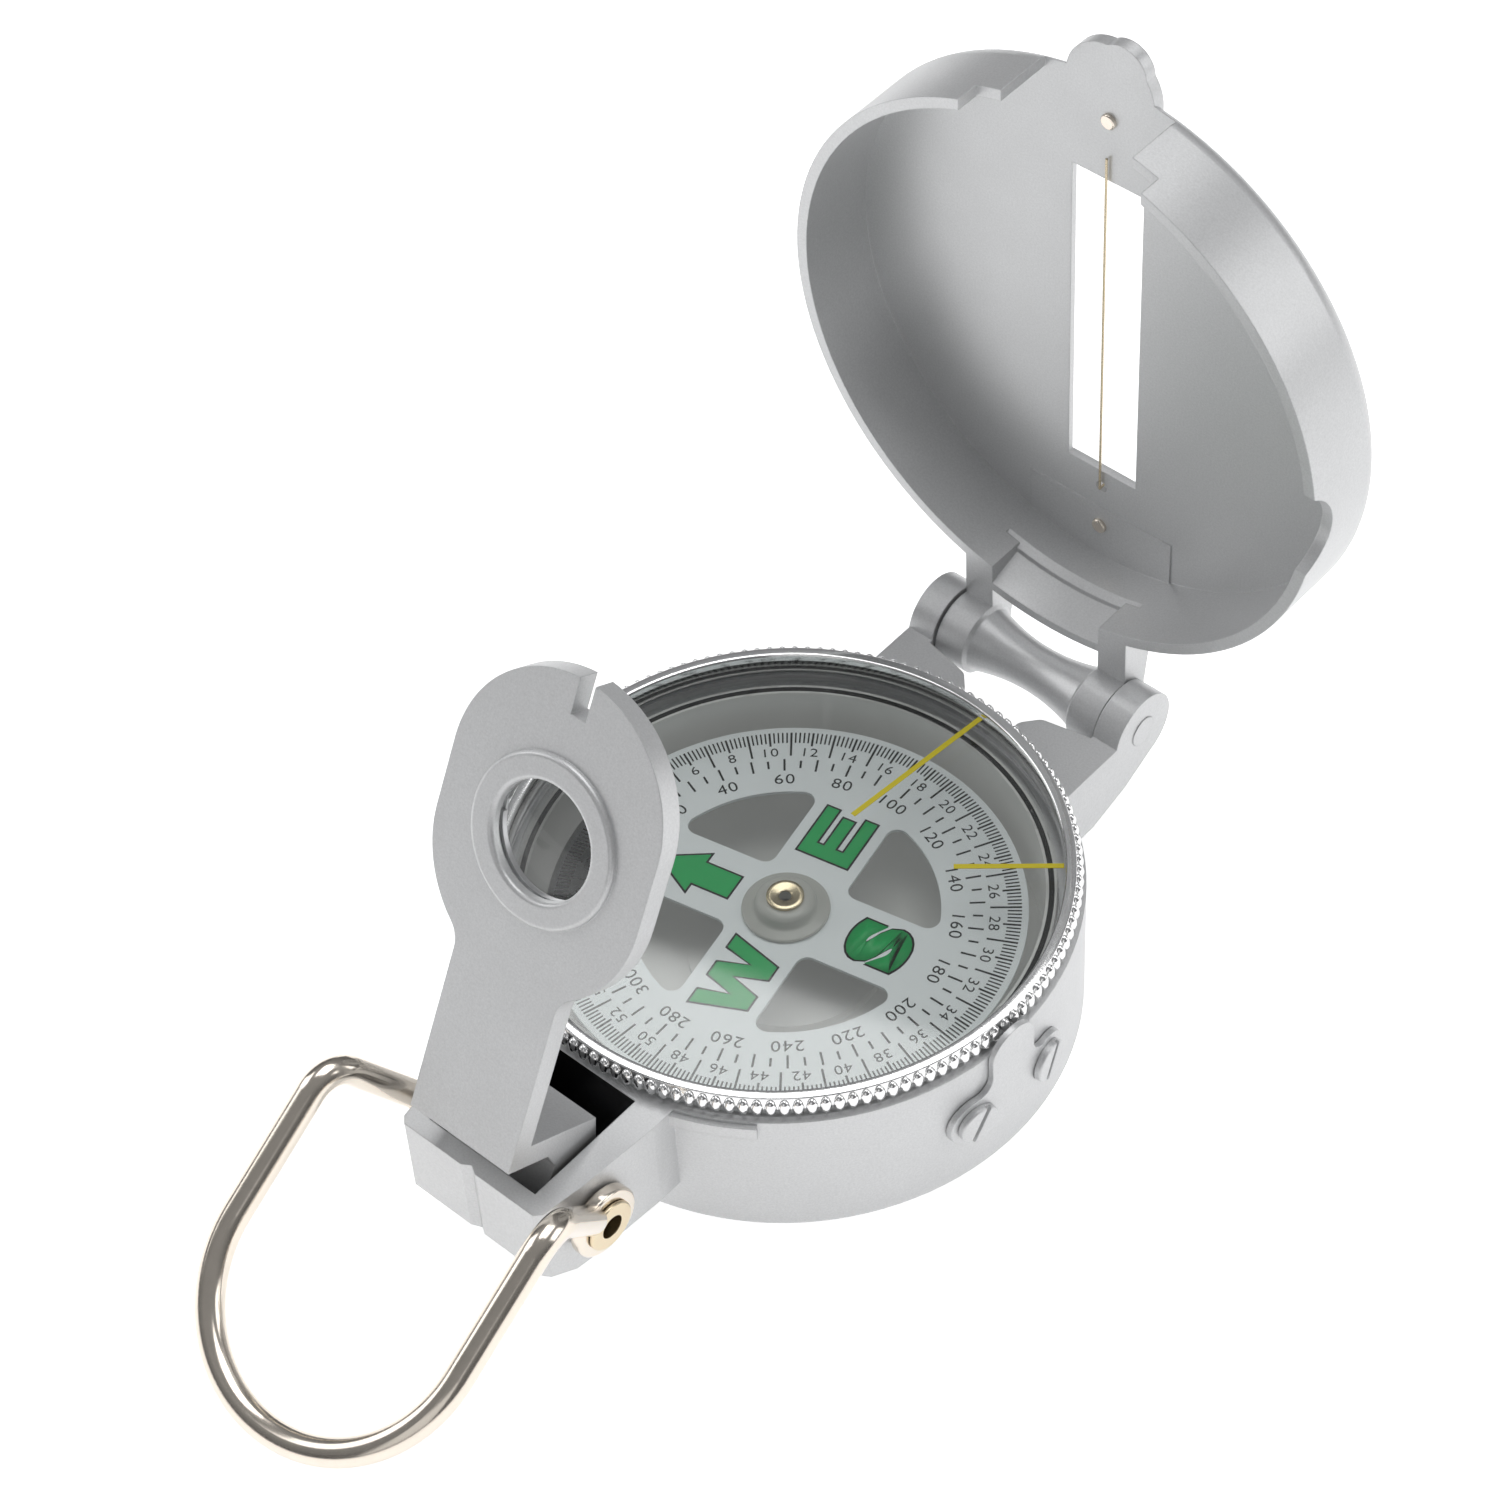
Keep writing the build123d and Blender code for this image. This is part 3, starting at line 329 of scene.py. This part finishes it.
FINISH_MAKERS = {
    "silver_paint": lambda s: silver_paint("silver_paint"),
    # The case paint also carries the painted black shade inside the bracket box.
    "case_paint": lambda s: silver_paint("case_paint", well=True),
    "chrome": lambda s: plated("chrome", (0.90, 0.90, 0.90), 0.07),
    "nickel": lambda s: plated("nickel", tuple(s.nickel), 0.13, 0.08),
    "steel": lambda s: plated("steel", (0.55, 0.55, 0.56), 0.28),
    "brass": lambda s: plated("brass", tuple(s.brass), 0.22),
    "clear_plastic": lambda s: clear("clear_plastic", (0.965, 0.97, 0.965)),
    # The hub and the capsule bowl carry a painted glow.
    "hub_plastic": lambda s: milky("hub_plastic", (0.42, 0.42, 0.40)),
    "milky_plastic": lambda s: milky("milky_plastic", (0.56, 0.56, 0.55)),
    "clear_glass": lambda s: clear("clear_glass", (0.985, 0.99, 0.988), 1.3),
    "luminous_paint": lambda s: printed("luminous_paint", tuple(s.luminous), 0.5),
    "dial_paint": lambda s: printed("dial_paint", tuple(s.card), 0.42, 0.035),
    "dial_ink": lambda s: printed("dial_ink", tuple(s.ink), 0.5),
    "dial_green": lambda s: printed("dial_green", tuple(s.marks), 0.4, 0.12),
    "white_card": lambda s: printed("white_card", (0.92, 0.92, 0.90), 0.5),
    "seal_rubber": lambda s: printed("seal_rubber", (0.02, 0.02, 0.02), 0.7),
}


def finish(name):
    """A finish by name, made once."""
    found = bpy.data.materials.get("compass_" + name)
    return found or FINISH_MAKERS[name](sizes("compass_finishes"))


# ---------------------------------------------------------------- mesh helpers

def piece(name, mesh, material, body, replaced=(), sharp=35.0):
    """Give a finished mesh its object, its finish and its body."""
    if sharp is not None:
        mesh.shade_smooth()
        mesh.set_sharp_from_angle(angle=math.radians(sharp))
    mesh.name = name
    if material is not None:
        mesh.materials.clear()
        mesh.materials.append(material)
    made = bpy.data.objects.new(name, mesh)
    bpy.context.scene.collection.objects.link(made)
    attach(made, body)
    if replaced:
        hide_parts(*replaced)
    return made


def mesh_from(bm, name):
    bmesh.ops.remove_doubles(bm, verts=bm.verts, dist=1e-8)
    bmesh.ops.recalc_face_normals(bm, faces=bm.faces)
    mesh = bpy.data.meshes.new(name)
    bm.to_mesh(mesh)
    bm.free()
    return mesh


def lathe(name, profile, segments):
    """Turn a closed profile of (radius, height) points about Z into a ring."""
    bm = bmesh.new()
    rings = []
    for radius, height in profile:
        angles = (2 * math.pi * i / segments for i in range(segments))
        rings.append([bm.verts.new((radius * math.cos(a), radius * math.sin(a), height)) for a in angles])
    for low, high in zip(rings, rings[1:] + rings[:1]):
        for i in range(segments):
            j = (i + 1) % segments
            bm.faces.new((low[i], low[j], high[j], high[i]))
    return mesh_from(bm, name)


def rounded(points, radius, steps=3):
    """Round the corners of a closed (radius, height) profile."""
    out = []
    count = len(points)
    for i, here in enumerate(points):
        here = Vector(here)
        before = Vector(points[i - 1]) - here
        after = Vector(points[(i + 1) % count]) - here
        cut = min(radius, before.length * 0.45, after.length * 0.45)
        start = here + before.normalized() * cut
        end = here + after.normalized() * cut
        for k in range(steps + 1):
            t = k / steps
            out.append(tuple(start * (1 - t) ** 2 + here * 2 * t * (1 - t) + end * t * t))
    return out


def grown(points, by):
    """Move the outline of a flat shape, given anticlockwise, outwards."""
    out = []
    count = len(points)
    for i in range(count):
        here = Vector(points[i])
        before = (here - Vector(points[i - 1])).normalized()
        after = (Vector(points[(i + 1) % count]) - here).normalized()
        n0 = Vector((before.y, -before.x))
        n1 = Vector((after.y, -after.x))
        mitre = n0 + n1
        out.append(tuple(here + mitre * (by / max(0.35, 1 + n0.dot(n1)))))
    return out


def add_plate(bm, points, low, high):
    """Add a flat shape with a thickness to a mesh under construction."""
    flat = [Vector((x, y, 0)) for x, y in points]
    top = [bm.verts.new((p.x, p.y, high)) for p in flat]
    under = [bm.verts.new((p.x, p.y, low)) for p in flat]
    for a, b, c in tessellate_polygon([flat]):
        bm.faces.new((top[a], top[b], top[c]))
        bm.faces.new((under[c], under[b], under[a]))
    for i in range(len(flat)):
        j = (i + 1) % len(flat)
        bm.faces.new((top[i], under[i], under[j], top[j]))


# ---------------------------------------------------------------- rings of copies

class RingTree:
    """A geometry node group that sets a small shape round a circle."""

    def __init__(self, name):
        self.group = bpy.data.node_groups.new(name, "GeometryNodeTree")
        self.group.is_modifier = True
        self.sockets = {}
        self.group.interface.new_socket("Geometry", in_out="OUTPUT", socket_type="NodeSocketGeometry")
        self.entry = self.group.nodes.new("NodeGroupInput")

    def asks(self, label, kind, default):
        """Add a named input."""
        made = self.group.interface.new_socket(label, in_out="INPUT", socket_type="NodeSocket" + kind)
        if kind != "Material":
            made.default_value = default
        self.sockets[label] = made.identifier
        return self.entry.outputs[label]

    def node(self, kind, settings, *values, out=0, **named):
        made = self.group.nodes.new(kind)
        for key, value in settings.items():
            setattr(made, key, value)
        for key, value in list(enumerate(values)) + list(named.items()):
            socket = made.inputs[key.replace("_", " ") if isinstance(key, str) else key]
            if isinstance(value, bpy.types.NodeSocket):
                self.group.links.new(value, socket)
            else:
                socket.default_value = value
        return made.outputs[out]

    def maths(self, operation, *values):
        return self.node("ShaderNodeMath", {"operation": operation}, *values)


def ring_of_copies(name, bead):
    """Copies of a bead or a flat tick on a circle, with every so many left out if asked."""
    t = RingTree(name)
    count = t.asks("Count", "Int", 12)
    radius = t.asks("Radius", "Float", 0.02)
    start = t.asks("Start", "Float", 0.0)
    height = t.asks("Height", "Float", 0.0)
    size = t.asks("Size", "Vector", (0.001, 0.001, 0.001))
    skip = t.asks("Skip Every", "Int", 0)
    material = t.asks("Material", "Material", None)
    circle = t.node("GeometryNodeMeshCircle", {}, Vertices=count, Radius=radius)
    index = t.node("GeometryNodeInputIndex", {})
    turn = t.maths("MULTIPLY", index, t.maths("DIVIDE", 2 * math.pi, count))
    if bead:
        shape = t.node("GeometryNodeMeshUVSphere", {}, Segments=10, Rings=7, Radius=1.0)
        shape = t.node("GeometryNodeSetShadeSmooth", {}, shape)
    else:
        shape = t.node("GeometryNodeMeshCube", {}, Size=(1.0, 1.0, 1.0))
    rest = t.maths("MODULO", index, t.maths("MAXIMUM", skip, 1.0))
    kept = t.maths("MAXIMUM", t.maths("GREATER_THAN", rest, 0.5), t.maths("LESS_THAN", skip, 0.5))
    copies = t.node(
        "GeometryNodeInstanceOnPoints", {}, Points=circle, Selection=kept, Instance=shape,
        Rotation=t.node("ShaderNodeCombineXYZ", {}, 0.0, 0.0, turn), Scale=size)
    placed = t.node(
        "GeometryNodeTransform", {}, Geometry=copies,
        Translation=t.node("ShaderNodeCombineXYZ", {}, 0.0, 0.0, height),
        Rotation=t.node("ShaderNodeCombineXYZ", {}, 0.0, 0.0, start))
    real = t.node("GeometryNodeRealizeInstances", {}, placed)
    painted = t.node("GeometryNodeSetMaterial", {}, Geometry=real, Material=material)
    exit_node = t.group.nodes.new("NodeGroupOutput")
    t.group.links.new(painted, exit_node.inputs[0])
    return t


def grown_ring(tree, values):
    """Run a ring tree on an empty mesh and return the plain mesh it makes."""
    holder = bpy.data.objects.new("ring_holder", bpy.data.meshes.new("ring_holder"))
    bpy.context.scene.collection.objects.link(holder)
    modifier = holder.modifiers.new("ring", "NODES")
    modifier.node_group = tree.group
    for label, value in values.items():
        modifier[tree.sockets[label]] = value
    bpy.context.view_layer.update()
    depsgraph = bpy.context.evaluated_depsgraph_get()
    mesh = bpy.data.meshes.new_from_object(holder.evaluated_get(depsgraph))
    bpy.data.objects.remove(holder)
    return mesh


def joined(meshes, name):
    """Several meshes as one."""
    bm = bmesh.new()
    for mesh in meshes:
        bm.from_mesh(mesh)
    made = bpy.data.meshes.new(name)
    bm.to_mesh(made)
    bm.free()
    return made


# ---------------------------------------------------------------- bezel

def build_bezel():
    s = sizes("compass_bezel")
    top = BEZEL_TOP
    inner = GLASS_OUT + 0.03 * MM
    shoulder = BEZEL_OUT - s.bead_depth
    low = top - 2.1 * MM
    profile = rounded([
        (inner, low), (shoulder - 0.2 * MM, low), (shoulder, low + 0.3 * MM), (shoulder, top - 0.55 * MM),
        (inner + s.land, top), (inner + 0.12 * MM, top), (inner, top - 0.15 * MM),
    ], 0.12 * MM)
    rim = lathe("bezel_rim", profile, 256)
    piece("bezel_rim", rim, finish("chrome"), "bezel", ["bezel_ring"])
    tree = ring_of_copies("Knurl Beads", bead=True)
    pitch = 2 * math.pi * shoulder / s.teeth
    beads = grown_ring(tree, {
        "Count": s.teeth, "Radius": shoulder, "Start": 0.0,
        "Height": top - 0.12 * MM - s.bead_half_height,
        "Size": (s.bead_depth, pitch * 0.47, s.bead_half_height),
        "Skip Every": 0, "Material": finish("chrome")})
    piece("bezel_knurl", beads, None, "bezel", sharp=None)


class COMPASS_OT_bezel(bpy.types.Operator):
    """Build the plated bezel: a turned rim and its ring of knurl beads"""

    bl_idname = "compass.bezel"
    bl_label = "Bezel"

    def execute(self, context):
        build_bezel()
        return {"FINISHED"}


# ---------------------------------------------------------------- dial

def build_dial_ticks():
    s = sizes("compass_dial")
    tree = ring_of_copies("Scale Ticks", bead=False)
    half = math.radians(360 / 64)
    families = (
        (320, s.scale_radius, s.fine_tick, s.tick_width, 0.0, 5),
        (32, s.scale_radius, s.middle_tick, s.bold_width, 0.0, 0),
        (32, s.scale_radius, s.long_tick, s.bold_width, half, 0),
        (36, s.degree_radius, s.degree_tick, s.bold_width, 0.0, 0),
        (36, s.degree_radius - 0.2 * MM, s.half_degree_tick, s.bold_width, math.radians(5), 0),
    )
    rings = [
        grown_ring(tree, {
            "Count": count, "Radius": outer - tick / 2, "Start": start + DIAL_ANGLE,
            "Height": DIAL_TOP + s.print_thickness / 4, "Size": (tick, width, s.print_thickness),
            "Skip Every": skip, "Material": finish("dial_ink")})
        for count, outer, tick, width, start, skip in families
    ]
    piece("dial_ticks", joined(rings, "dial_ticks"), finish("dial_ink"), "dial", sharp=None)


def lettering(body, height, thickness, bold=0.0, stretch=1.12):
    """A short text as a mesh, centred on the origin, with capitals of a given height."""
    curve = bpy.data.curves.new("lettering", "FONT")
    curve.body = body
    curve.resolution_u = 5
    curve.offset = bold
    curve.space_character = 1.12
    holder = bpy.data.objects.new("lettering", curve)
    bpy.context.scene.collection.objects.link(holder)
    bpy.context.view_layer.update()
    depsgraph = bpy.context.evaluated_depsgraph_get()
    mesh = bpy.data.meshes.new_from_object(holder.evaluated_get(depsgraph))
    bpy.data.objects.remove(holder)
    xs = [v.co.x for v in mesh.vertices]
    ys = [v.co.y for v in mesh.vertices]
    centre = Vector(((max(xs) + min(xs)) / 2, (max(ys) + min(ys)) / 2, 0))
    factor = height / (max(ys) - min(ys))
    mesh.transform(Matrix.Diagonal((factor * stretch, factor, 1, 1)) @ Matrix.Translation(-centre))
    bm = bmesh.new()
    bm.from_mesh(mesh)
    bmesh.ops.remove_doubles(bm, verts=bm.verts, dist=1e-7)
    raised = bmesh.ops.extrude_face_region(bm, geom=bm.faces[:])
    moved = [v for v in raised["geom"] if isinstance(v, bmesh.types.BMVert)]
    bmesh.ops.translate(bm, verts=moved, vec=(0, 0, thickness))
    bmesh.ops.recalc_face_normals(bm, faces=bm.faces)
    bm.to_mesh(mesh)
    bm.free()
    return mesh


def round_the_dial(bearing, radius):
    """Place a text upright seen from the rim at a bearing, clockwise from north."""
    return DIAL_TURN @ Matrix.Rotation(-math.radians(bearing), 4, "Z") @ Matrix.Translation(
        (0, radius, DIAL_TOP - sizes("compass_dial").print_thickness / 4))


def build_dial_numbers():
    s = sizes("compass_dial")
    for name, values, step, height, radius in (
        ("dial_mil_numbers", range(2, 66, 2), 360 / 64, s.mil_height, s.mil_radius),
        ("dial_degree_numbers", range(0, 360, 20), 1.0, s.degree_height, s.degree_number_radius),
    ):
        texts = []
        for value in values:
            if name == "dial_degree_numbers" and value == 0:
                continue
            text = lettering(str(value), height, s.print_thickness)
            text.transform(round_the_dial(value * step, radius))
            texts.append(text)
        piece(name, joined(texts, name), finish("dial_ink"), "dial", sharp=None)


ARROW = [(1.4, 5.2), (1.4, 8.9), (2.5, 8.9), (0.0, 13.2), (-2.5, 8.9), (-1.4, 8.9), (-1.4, 5.2)]
LETTER_E = [
    (6.4, -2.65), (12.25, -2.65), (12.25, -1.3), (8.0, -1.3), (8.0, -0.65), (11.6, -0.65),
    (11.6, 0.65), (8.0, 0.65), (8.0, 1.25), (12.25, 1.25), (12.25, 2.6), (6.4, 2.6),
]
LETTER_W = [
    (-11.45, -2.65), (-9.75, -2.65), (-8.75, 0.35), (-7.75, -2.65), (-6.05, -2.65), (-4.5, 2.5),
    (-6.2, 2.5), (-6.95, -0.4), (-7.9, 2.5), (-9.6, 2.5), (-10.55, -0.4), (-11.3, 2.5), (-13.0, 2.5),
]


def build_dial_marks():
    s = sizes("compass_dial")
    t = s.print_thickness
    base = DIAL_TOP - t / 4
    for name, by, low, high, material in (
        ("dial_mark_outlines", s.outline / 2, base, DIAL_TOP + t, "dial_ink"),
        ("dial_marks", -s.outline / 2, DIAL_TOP + t / 2, DIAL_TOP + 2 * t, "dial_green"),
    ):
        bm = bmesh.new()
        for shape in (ARROW, LETTER_E, LETTER_W):
            add_plate(bm, grown([(x * MM, y * MM) for x, y in shape], by), low, high)
        flat = mesh_from(bm, name)
        height = 5.9 * MM + 2 * by
        letter = lettering("S", height, high - low, bold=0.075, stretch=1.0)
        widest = max(v.co.x for v in letter.vertices)
        letter.transform(Matrix.Diagonal(((2.5 * MM + by) / widest, 1, 1, 1)))
        letter.transform(Matrix.Translation((0.2 * MM, -9.25 * MM, low)))
        both = joined([flat, letter], name)
        both.transform(DIAL_TURN)
        piece(name, both, finish(material), "dial", sharp=None)


def build_hub():
    """A moulded cup, clear on the real compass, drawn as pale plastic with a painted glow, with a brass
    ring in its crown.
    """
    z = DIAL_TOP
    crown = HUB_TOP
    cup = rounded([
        (1.0 * MM, z + 0.02 * MM), (3.95 * MM, z + 0.02 * MM),
        (3.95 * MM, z + 0.35 * MM), (2.85 * MM, z + 0.6 * MM),
        (2.65 * MM, crown - 0.25 * MM), (2.2 * MM, crown), (1.0 * MM, crown),
    ], 0.25 * MM)
    cup = lathe("hub_cup", cup, 96)
    piece("hub_cup", cup, finish("hub_plastic"), "dial", ["dial_hub"])
    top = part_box("dial_cap")[1].z
    ring = rounded([
        (0.55 * MM, crown + 0.01 * MM), (1.68 * MM, crown + 0.01 * MM), (1.68 * MM, top - 0.05 * MM),
        (1.35 * MM, top), (0.8 * MM, top - 0.12 * MM), (0.55 * MM, top - 0.2 * MM),
    ], 0.08 * MM)
    piece("hub_ring", lathe("hub_ring", ring, 72), finish("brass"), "dial", ["dial_cap"])


class COMPASS_OT_dial_scales(bpy.types.Operator):
    """Print the mil and degree scales and their numbers on the dial card"""

    bl_idname = "compass.dial_scales"
    bl_label = "Dial scales"

    def execute(self, context):
        build_dial_ticks()
        build_dial_numbers()
        return {"FINISHED"}


class COMPASS_OT_dial_marks(bpy.types.Operator):
    """Print the outlined green north arrow and the three letters"""

    bl_idname = "compass.dial_marks"
    bl_label = "Dial marks"

    def execute(self, context):
        build_dial_marks()
        return {"FINISHED"}


class COMPASS_OT_hub(bpy.types.Operator):
    """Build the hub of the dial, pale plastic with a painted glow, and its brass ring"""

    bl_idname = "compass.hub"
    bl_label = "Dial hub"

    def execute(self, context):
        build_hub()
        return {"FINISHED"}


# ---------------------------------------------------------------- carried-over castings

NODE_FINISH = {
    "base_casting": "case_paint", "cover_casting": "silver_paint", "eye_bracket": "silver_paint",
    "clip_plate": "silver_paint", "clip_screws": "silver_paint", "hinge_pin": "silver_paint",
    "reflector_disc": "white_card", "capsule_bowl": "milky_plastic", "capsule_lid": "clear_plastic",
    "capsule_seal": "seal_rubber", "pivot_post": "steel", "bracket_rivet": "brass",
    "detent_spring": "steel", "bezel_retaining_ring": "steel", "bezel_glass": "clear_glass",
    "luminous_lines": "luminous_paint", "dial_card": "dial_paint", "dial_magnet": "steel",
    "sighting_wire": "brass", "sight_rivets": "nickel", "magnifier_lens": "clear_glass",
    "lens_snap_ring": "steel", "thumb_loop": "nickel",
}


class COMPASS_OT_castings(bpy.types.Operator):
    """Give the carried-over castings, glasses and wire their finishes"""

    bl_idname = "compass.castings"
    bl_label = "Castings"

    def execute(self, context):
        for name, material in NODE_FINISH.items():
            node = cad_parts[name]
            node.data.materials.clear()
            node.data.materials.append(finish(material))
        return {"FINISHED"}


# ---------------------------------------------------------------- stage

def soft_light(name, place, aim, size, power, tint=(1, 1, 1)):
    data = bpy.data.lights.new(name, "AREA")
    data.shape = "RECTANGLE"
    data.size, data.size_y = size
    data.energy = power
    data.color = tint
    lamp = bpy.data.objects.new(name, data)
    lamp.location = place
    lamp.rotation_mode = "QUATERNION"
    lamp.rotation_quaternion = (Vector(aim) - Vector(place)).to_track_quat("-Z", "Y")
    bpy.context.scene.collection.objects.link(lamp)


def build_camera():
    data = bpy.data.cameras.new("camera")
    data.lens = 99.23
    data.sensor_width = 36.0
    data.clip_start = 0.01
    data.clip_end = 20.0
    camera = bpy.data.objects.new("camera", data)
    right = Vector((0.75086, 0.6587, -0.04827))
    up = Vector((-0.47074, 0.585, 0.66044))
    back = right.cross(up)
    turn = Matrix((right, up, back)).transposed().to_4x4()
    camera.matrix_world = Matrix.Translation((0.16017, -0.16667, 0.29394)) @ turn
    bpy.context.scene.collection.objects.link(camera)
    bpy.context.scene.camera = camera


def build_world():
    """A pale room: bright overhead, dimmer towards the horizon."""
    world = bpy.data.worlds.new("studio")
    bpy.context.scene.world = world
    world.use_nodes = True
    nodes, links = world.node_tree.nodes, world.node_tree.links
    background = nodes["Background"]
    place = nodes.new("ShaderNodeTexCoord")
    split = nodes.new("ShaderNodeSeparateXYZ")
    ramp = nodes.new("ShaderNodeValToRGB")
    ramp.color_ramp.elements[0].position = 0.0
    ramp.color_ramp.elements[0].color = (0.30, 0.30, 0.31, 1)
    ramp.color_ramp.elements[1].position = 0.75
    ramp.color_ramp.elements[1].color = (0.95, 0.96, 0.98, 1)
    links.new(place.outputs["Generated"], split.inputs[0])
    links.new(split.outputs["Z"], ramp.inputs[0])
    links.new(ramp.outputs[0], background.inputs["Color"])
    background.inputs["Strength"].default_value = 0.28


def build_floor():
    low = CAD_BOX[0][2] - 0.02 * MM
    bm = bmesh.new()
    corners = ((-1, -1), (1, -1), (1, 1), (-1, 1))
    bm.faces.new([bm.verts.new((FLOOR_HALF * x, FLOOR_HALF * y, low)) for x, y in corners])
    mesh = bpy.data.meshes.new("floor")
    bm.to_mesh(mesh)
    bm.free()
    f = Finish("studio_floor")
    grain = f.noise(60.0, 2.0)
    tone = f.blend(grain, FLOOR_TONES[0], FLOOR_TONES[1])
    glow = f.surface(Base_Color=tone, Roughness=0.8, Emission_Color=(1, 1, 1, 1), Emission_Strength=0.62)
    mesh.materials.append(f.done(glow))
    floor = bpy.data.objects.new("floor", mesh)
    bpy.context.scene.collection.objects.link(floor)


class COMPASS_OT_stage(bpy.types.Operator):
    """Set the pale floor, the soft studio lights and the camera"""

    bl_idname = "compass.stage"
    bl_label = "Stage"

    def execute(self, context):
        context.scene.view_settings.view_transform = "Standard"
        build_world()
        build_floor()
        build_camera()
        soft_light("overhead", (-0.05, 0.16, 0.60), (0, 0, 0.02), (0.50, 0.40), 1.6)
        soft_light("key", (-0.50, -0.20, 0.34), (0, 0, 0.03), (0.35, 0.45), 0.85)
        soft_light("side", (0.48, 0.34, 0.30), (0.02, 0.03, 0.03), (0.35, 0.40), 0.8)
        soft_light("front", (0.22, -0.50, 0.20), (0, 0, 0.02), (0.40, 0.30), 0.22)
        return {"FINISHED"}


# ---------------------------------------------------------------- add-on

class COMPASS_PT_pieces(bpy.types.Panel):
    """Sizes, colours and pieces of the compass"""

    bl_idname = "COMPASS_PT_pieces"
    bl_label = "Compass"
    bl_space_type = "VIEW_3D"
    bl_region_type = "UI"
    bl_category = "Compass"

    def draw(self, context):
        for group in GROUPS:
            owner = getattr(context.scene, group)
            for key in owner.__annotations__:
                self.layout.prop(owner, key)
        for operator in OPERATORS:
            self.layout.operator(operator.bl_idname)


GROUPS = {"compass_bezel": BezelSizes, "compass_dial": DialSizes, "compass_finishes": Finishes}
OPERATORS = (
    COMPASS_OT_stage, COMPASS_OT_castings, COMPASS_OT_bezel, COMPASS_OT_dial_scales,
    COMPASS_OT_dial_marks, COMPASS_OT_hub,
)


def register():
    for cls in (*GROUPS.values(), *OPERATORS, COMPASS_PT_pieces):
        bpy.utils.register_class(cls)
    for name, cls in GROUPS.items():
        setattr(bpy.types.Scene, name, PointerProperty(type=cls))


def unregister():
    for name in GROUPS:
        delattr(bpy.types.Scene, name)
    for cls in (COMPASS_PT_pieces, *reversed(OPERATORS), *GROUPS.values()):
        bpy.utils.unregister_class(cls)


def main():
    register()
    bpy.ops.compass.stage()
    bpy.ops.compass.castings()
    bpy.ops.compass.bezel()
    bpy.ops.compass.dial_scales()
    bpy.ops.compass.dial_marks()
    bpy.ops.compass.hub()


if __name__ == "__main__":
    main()
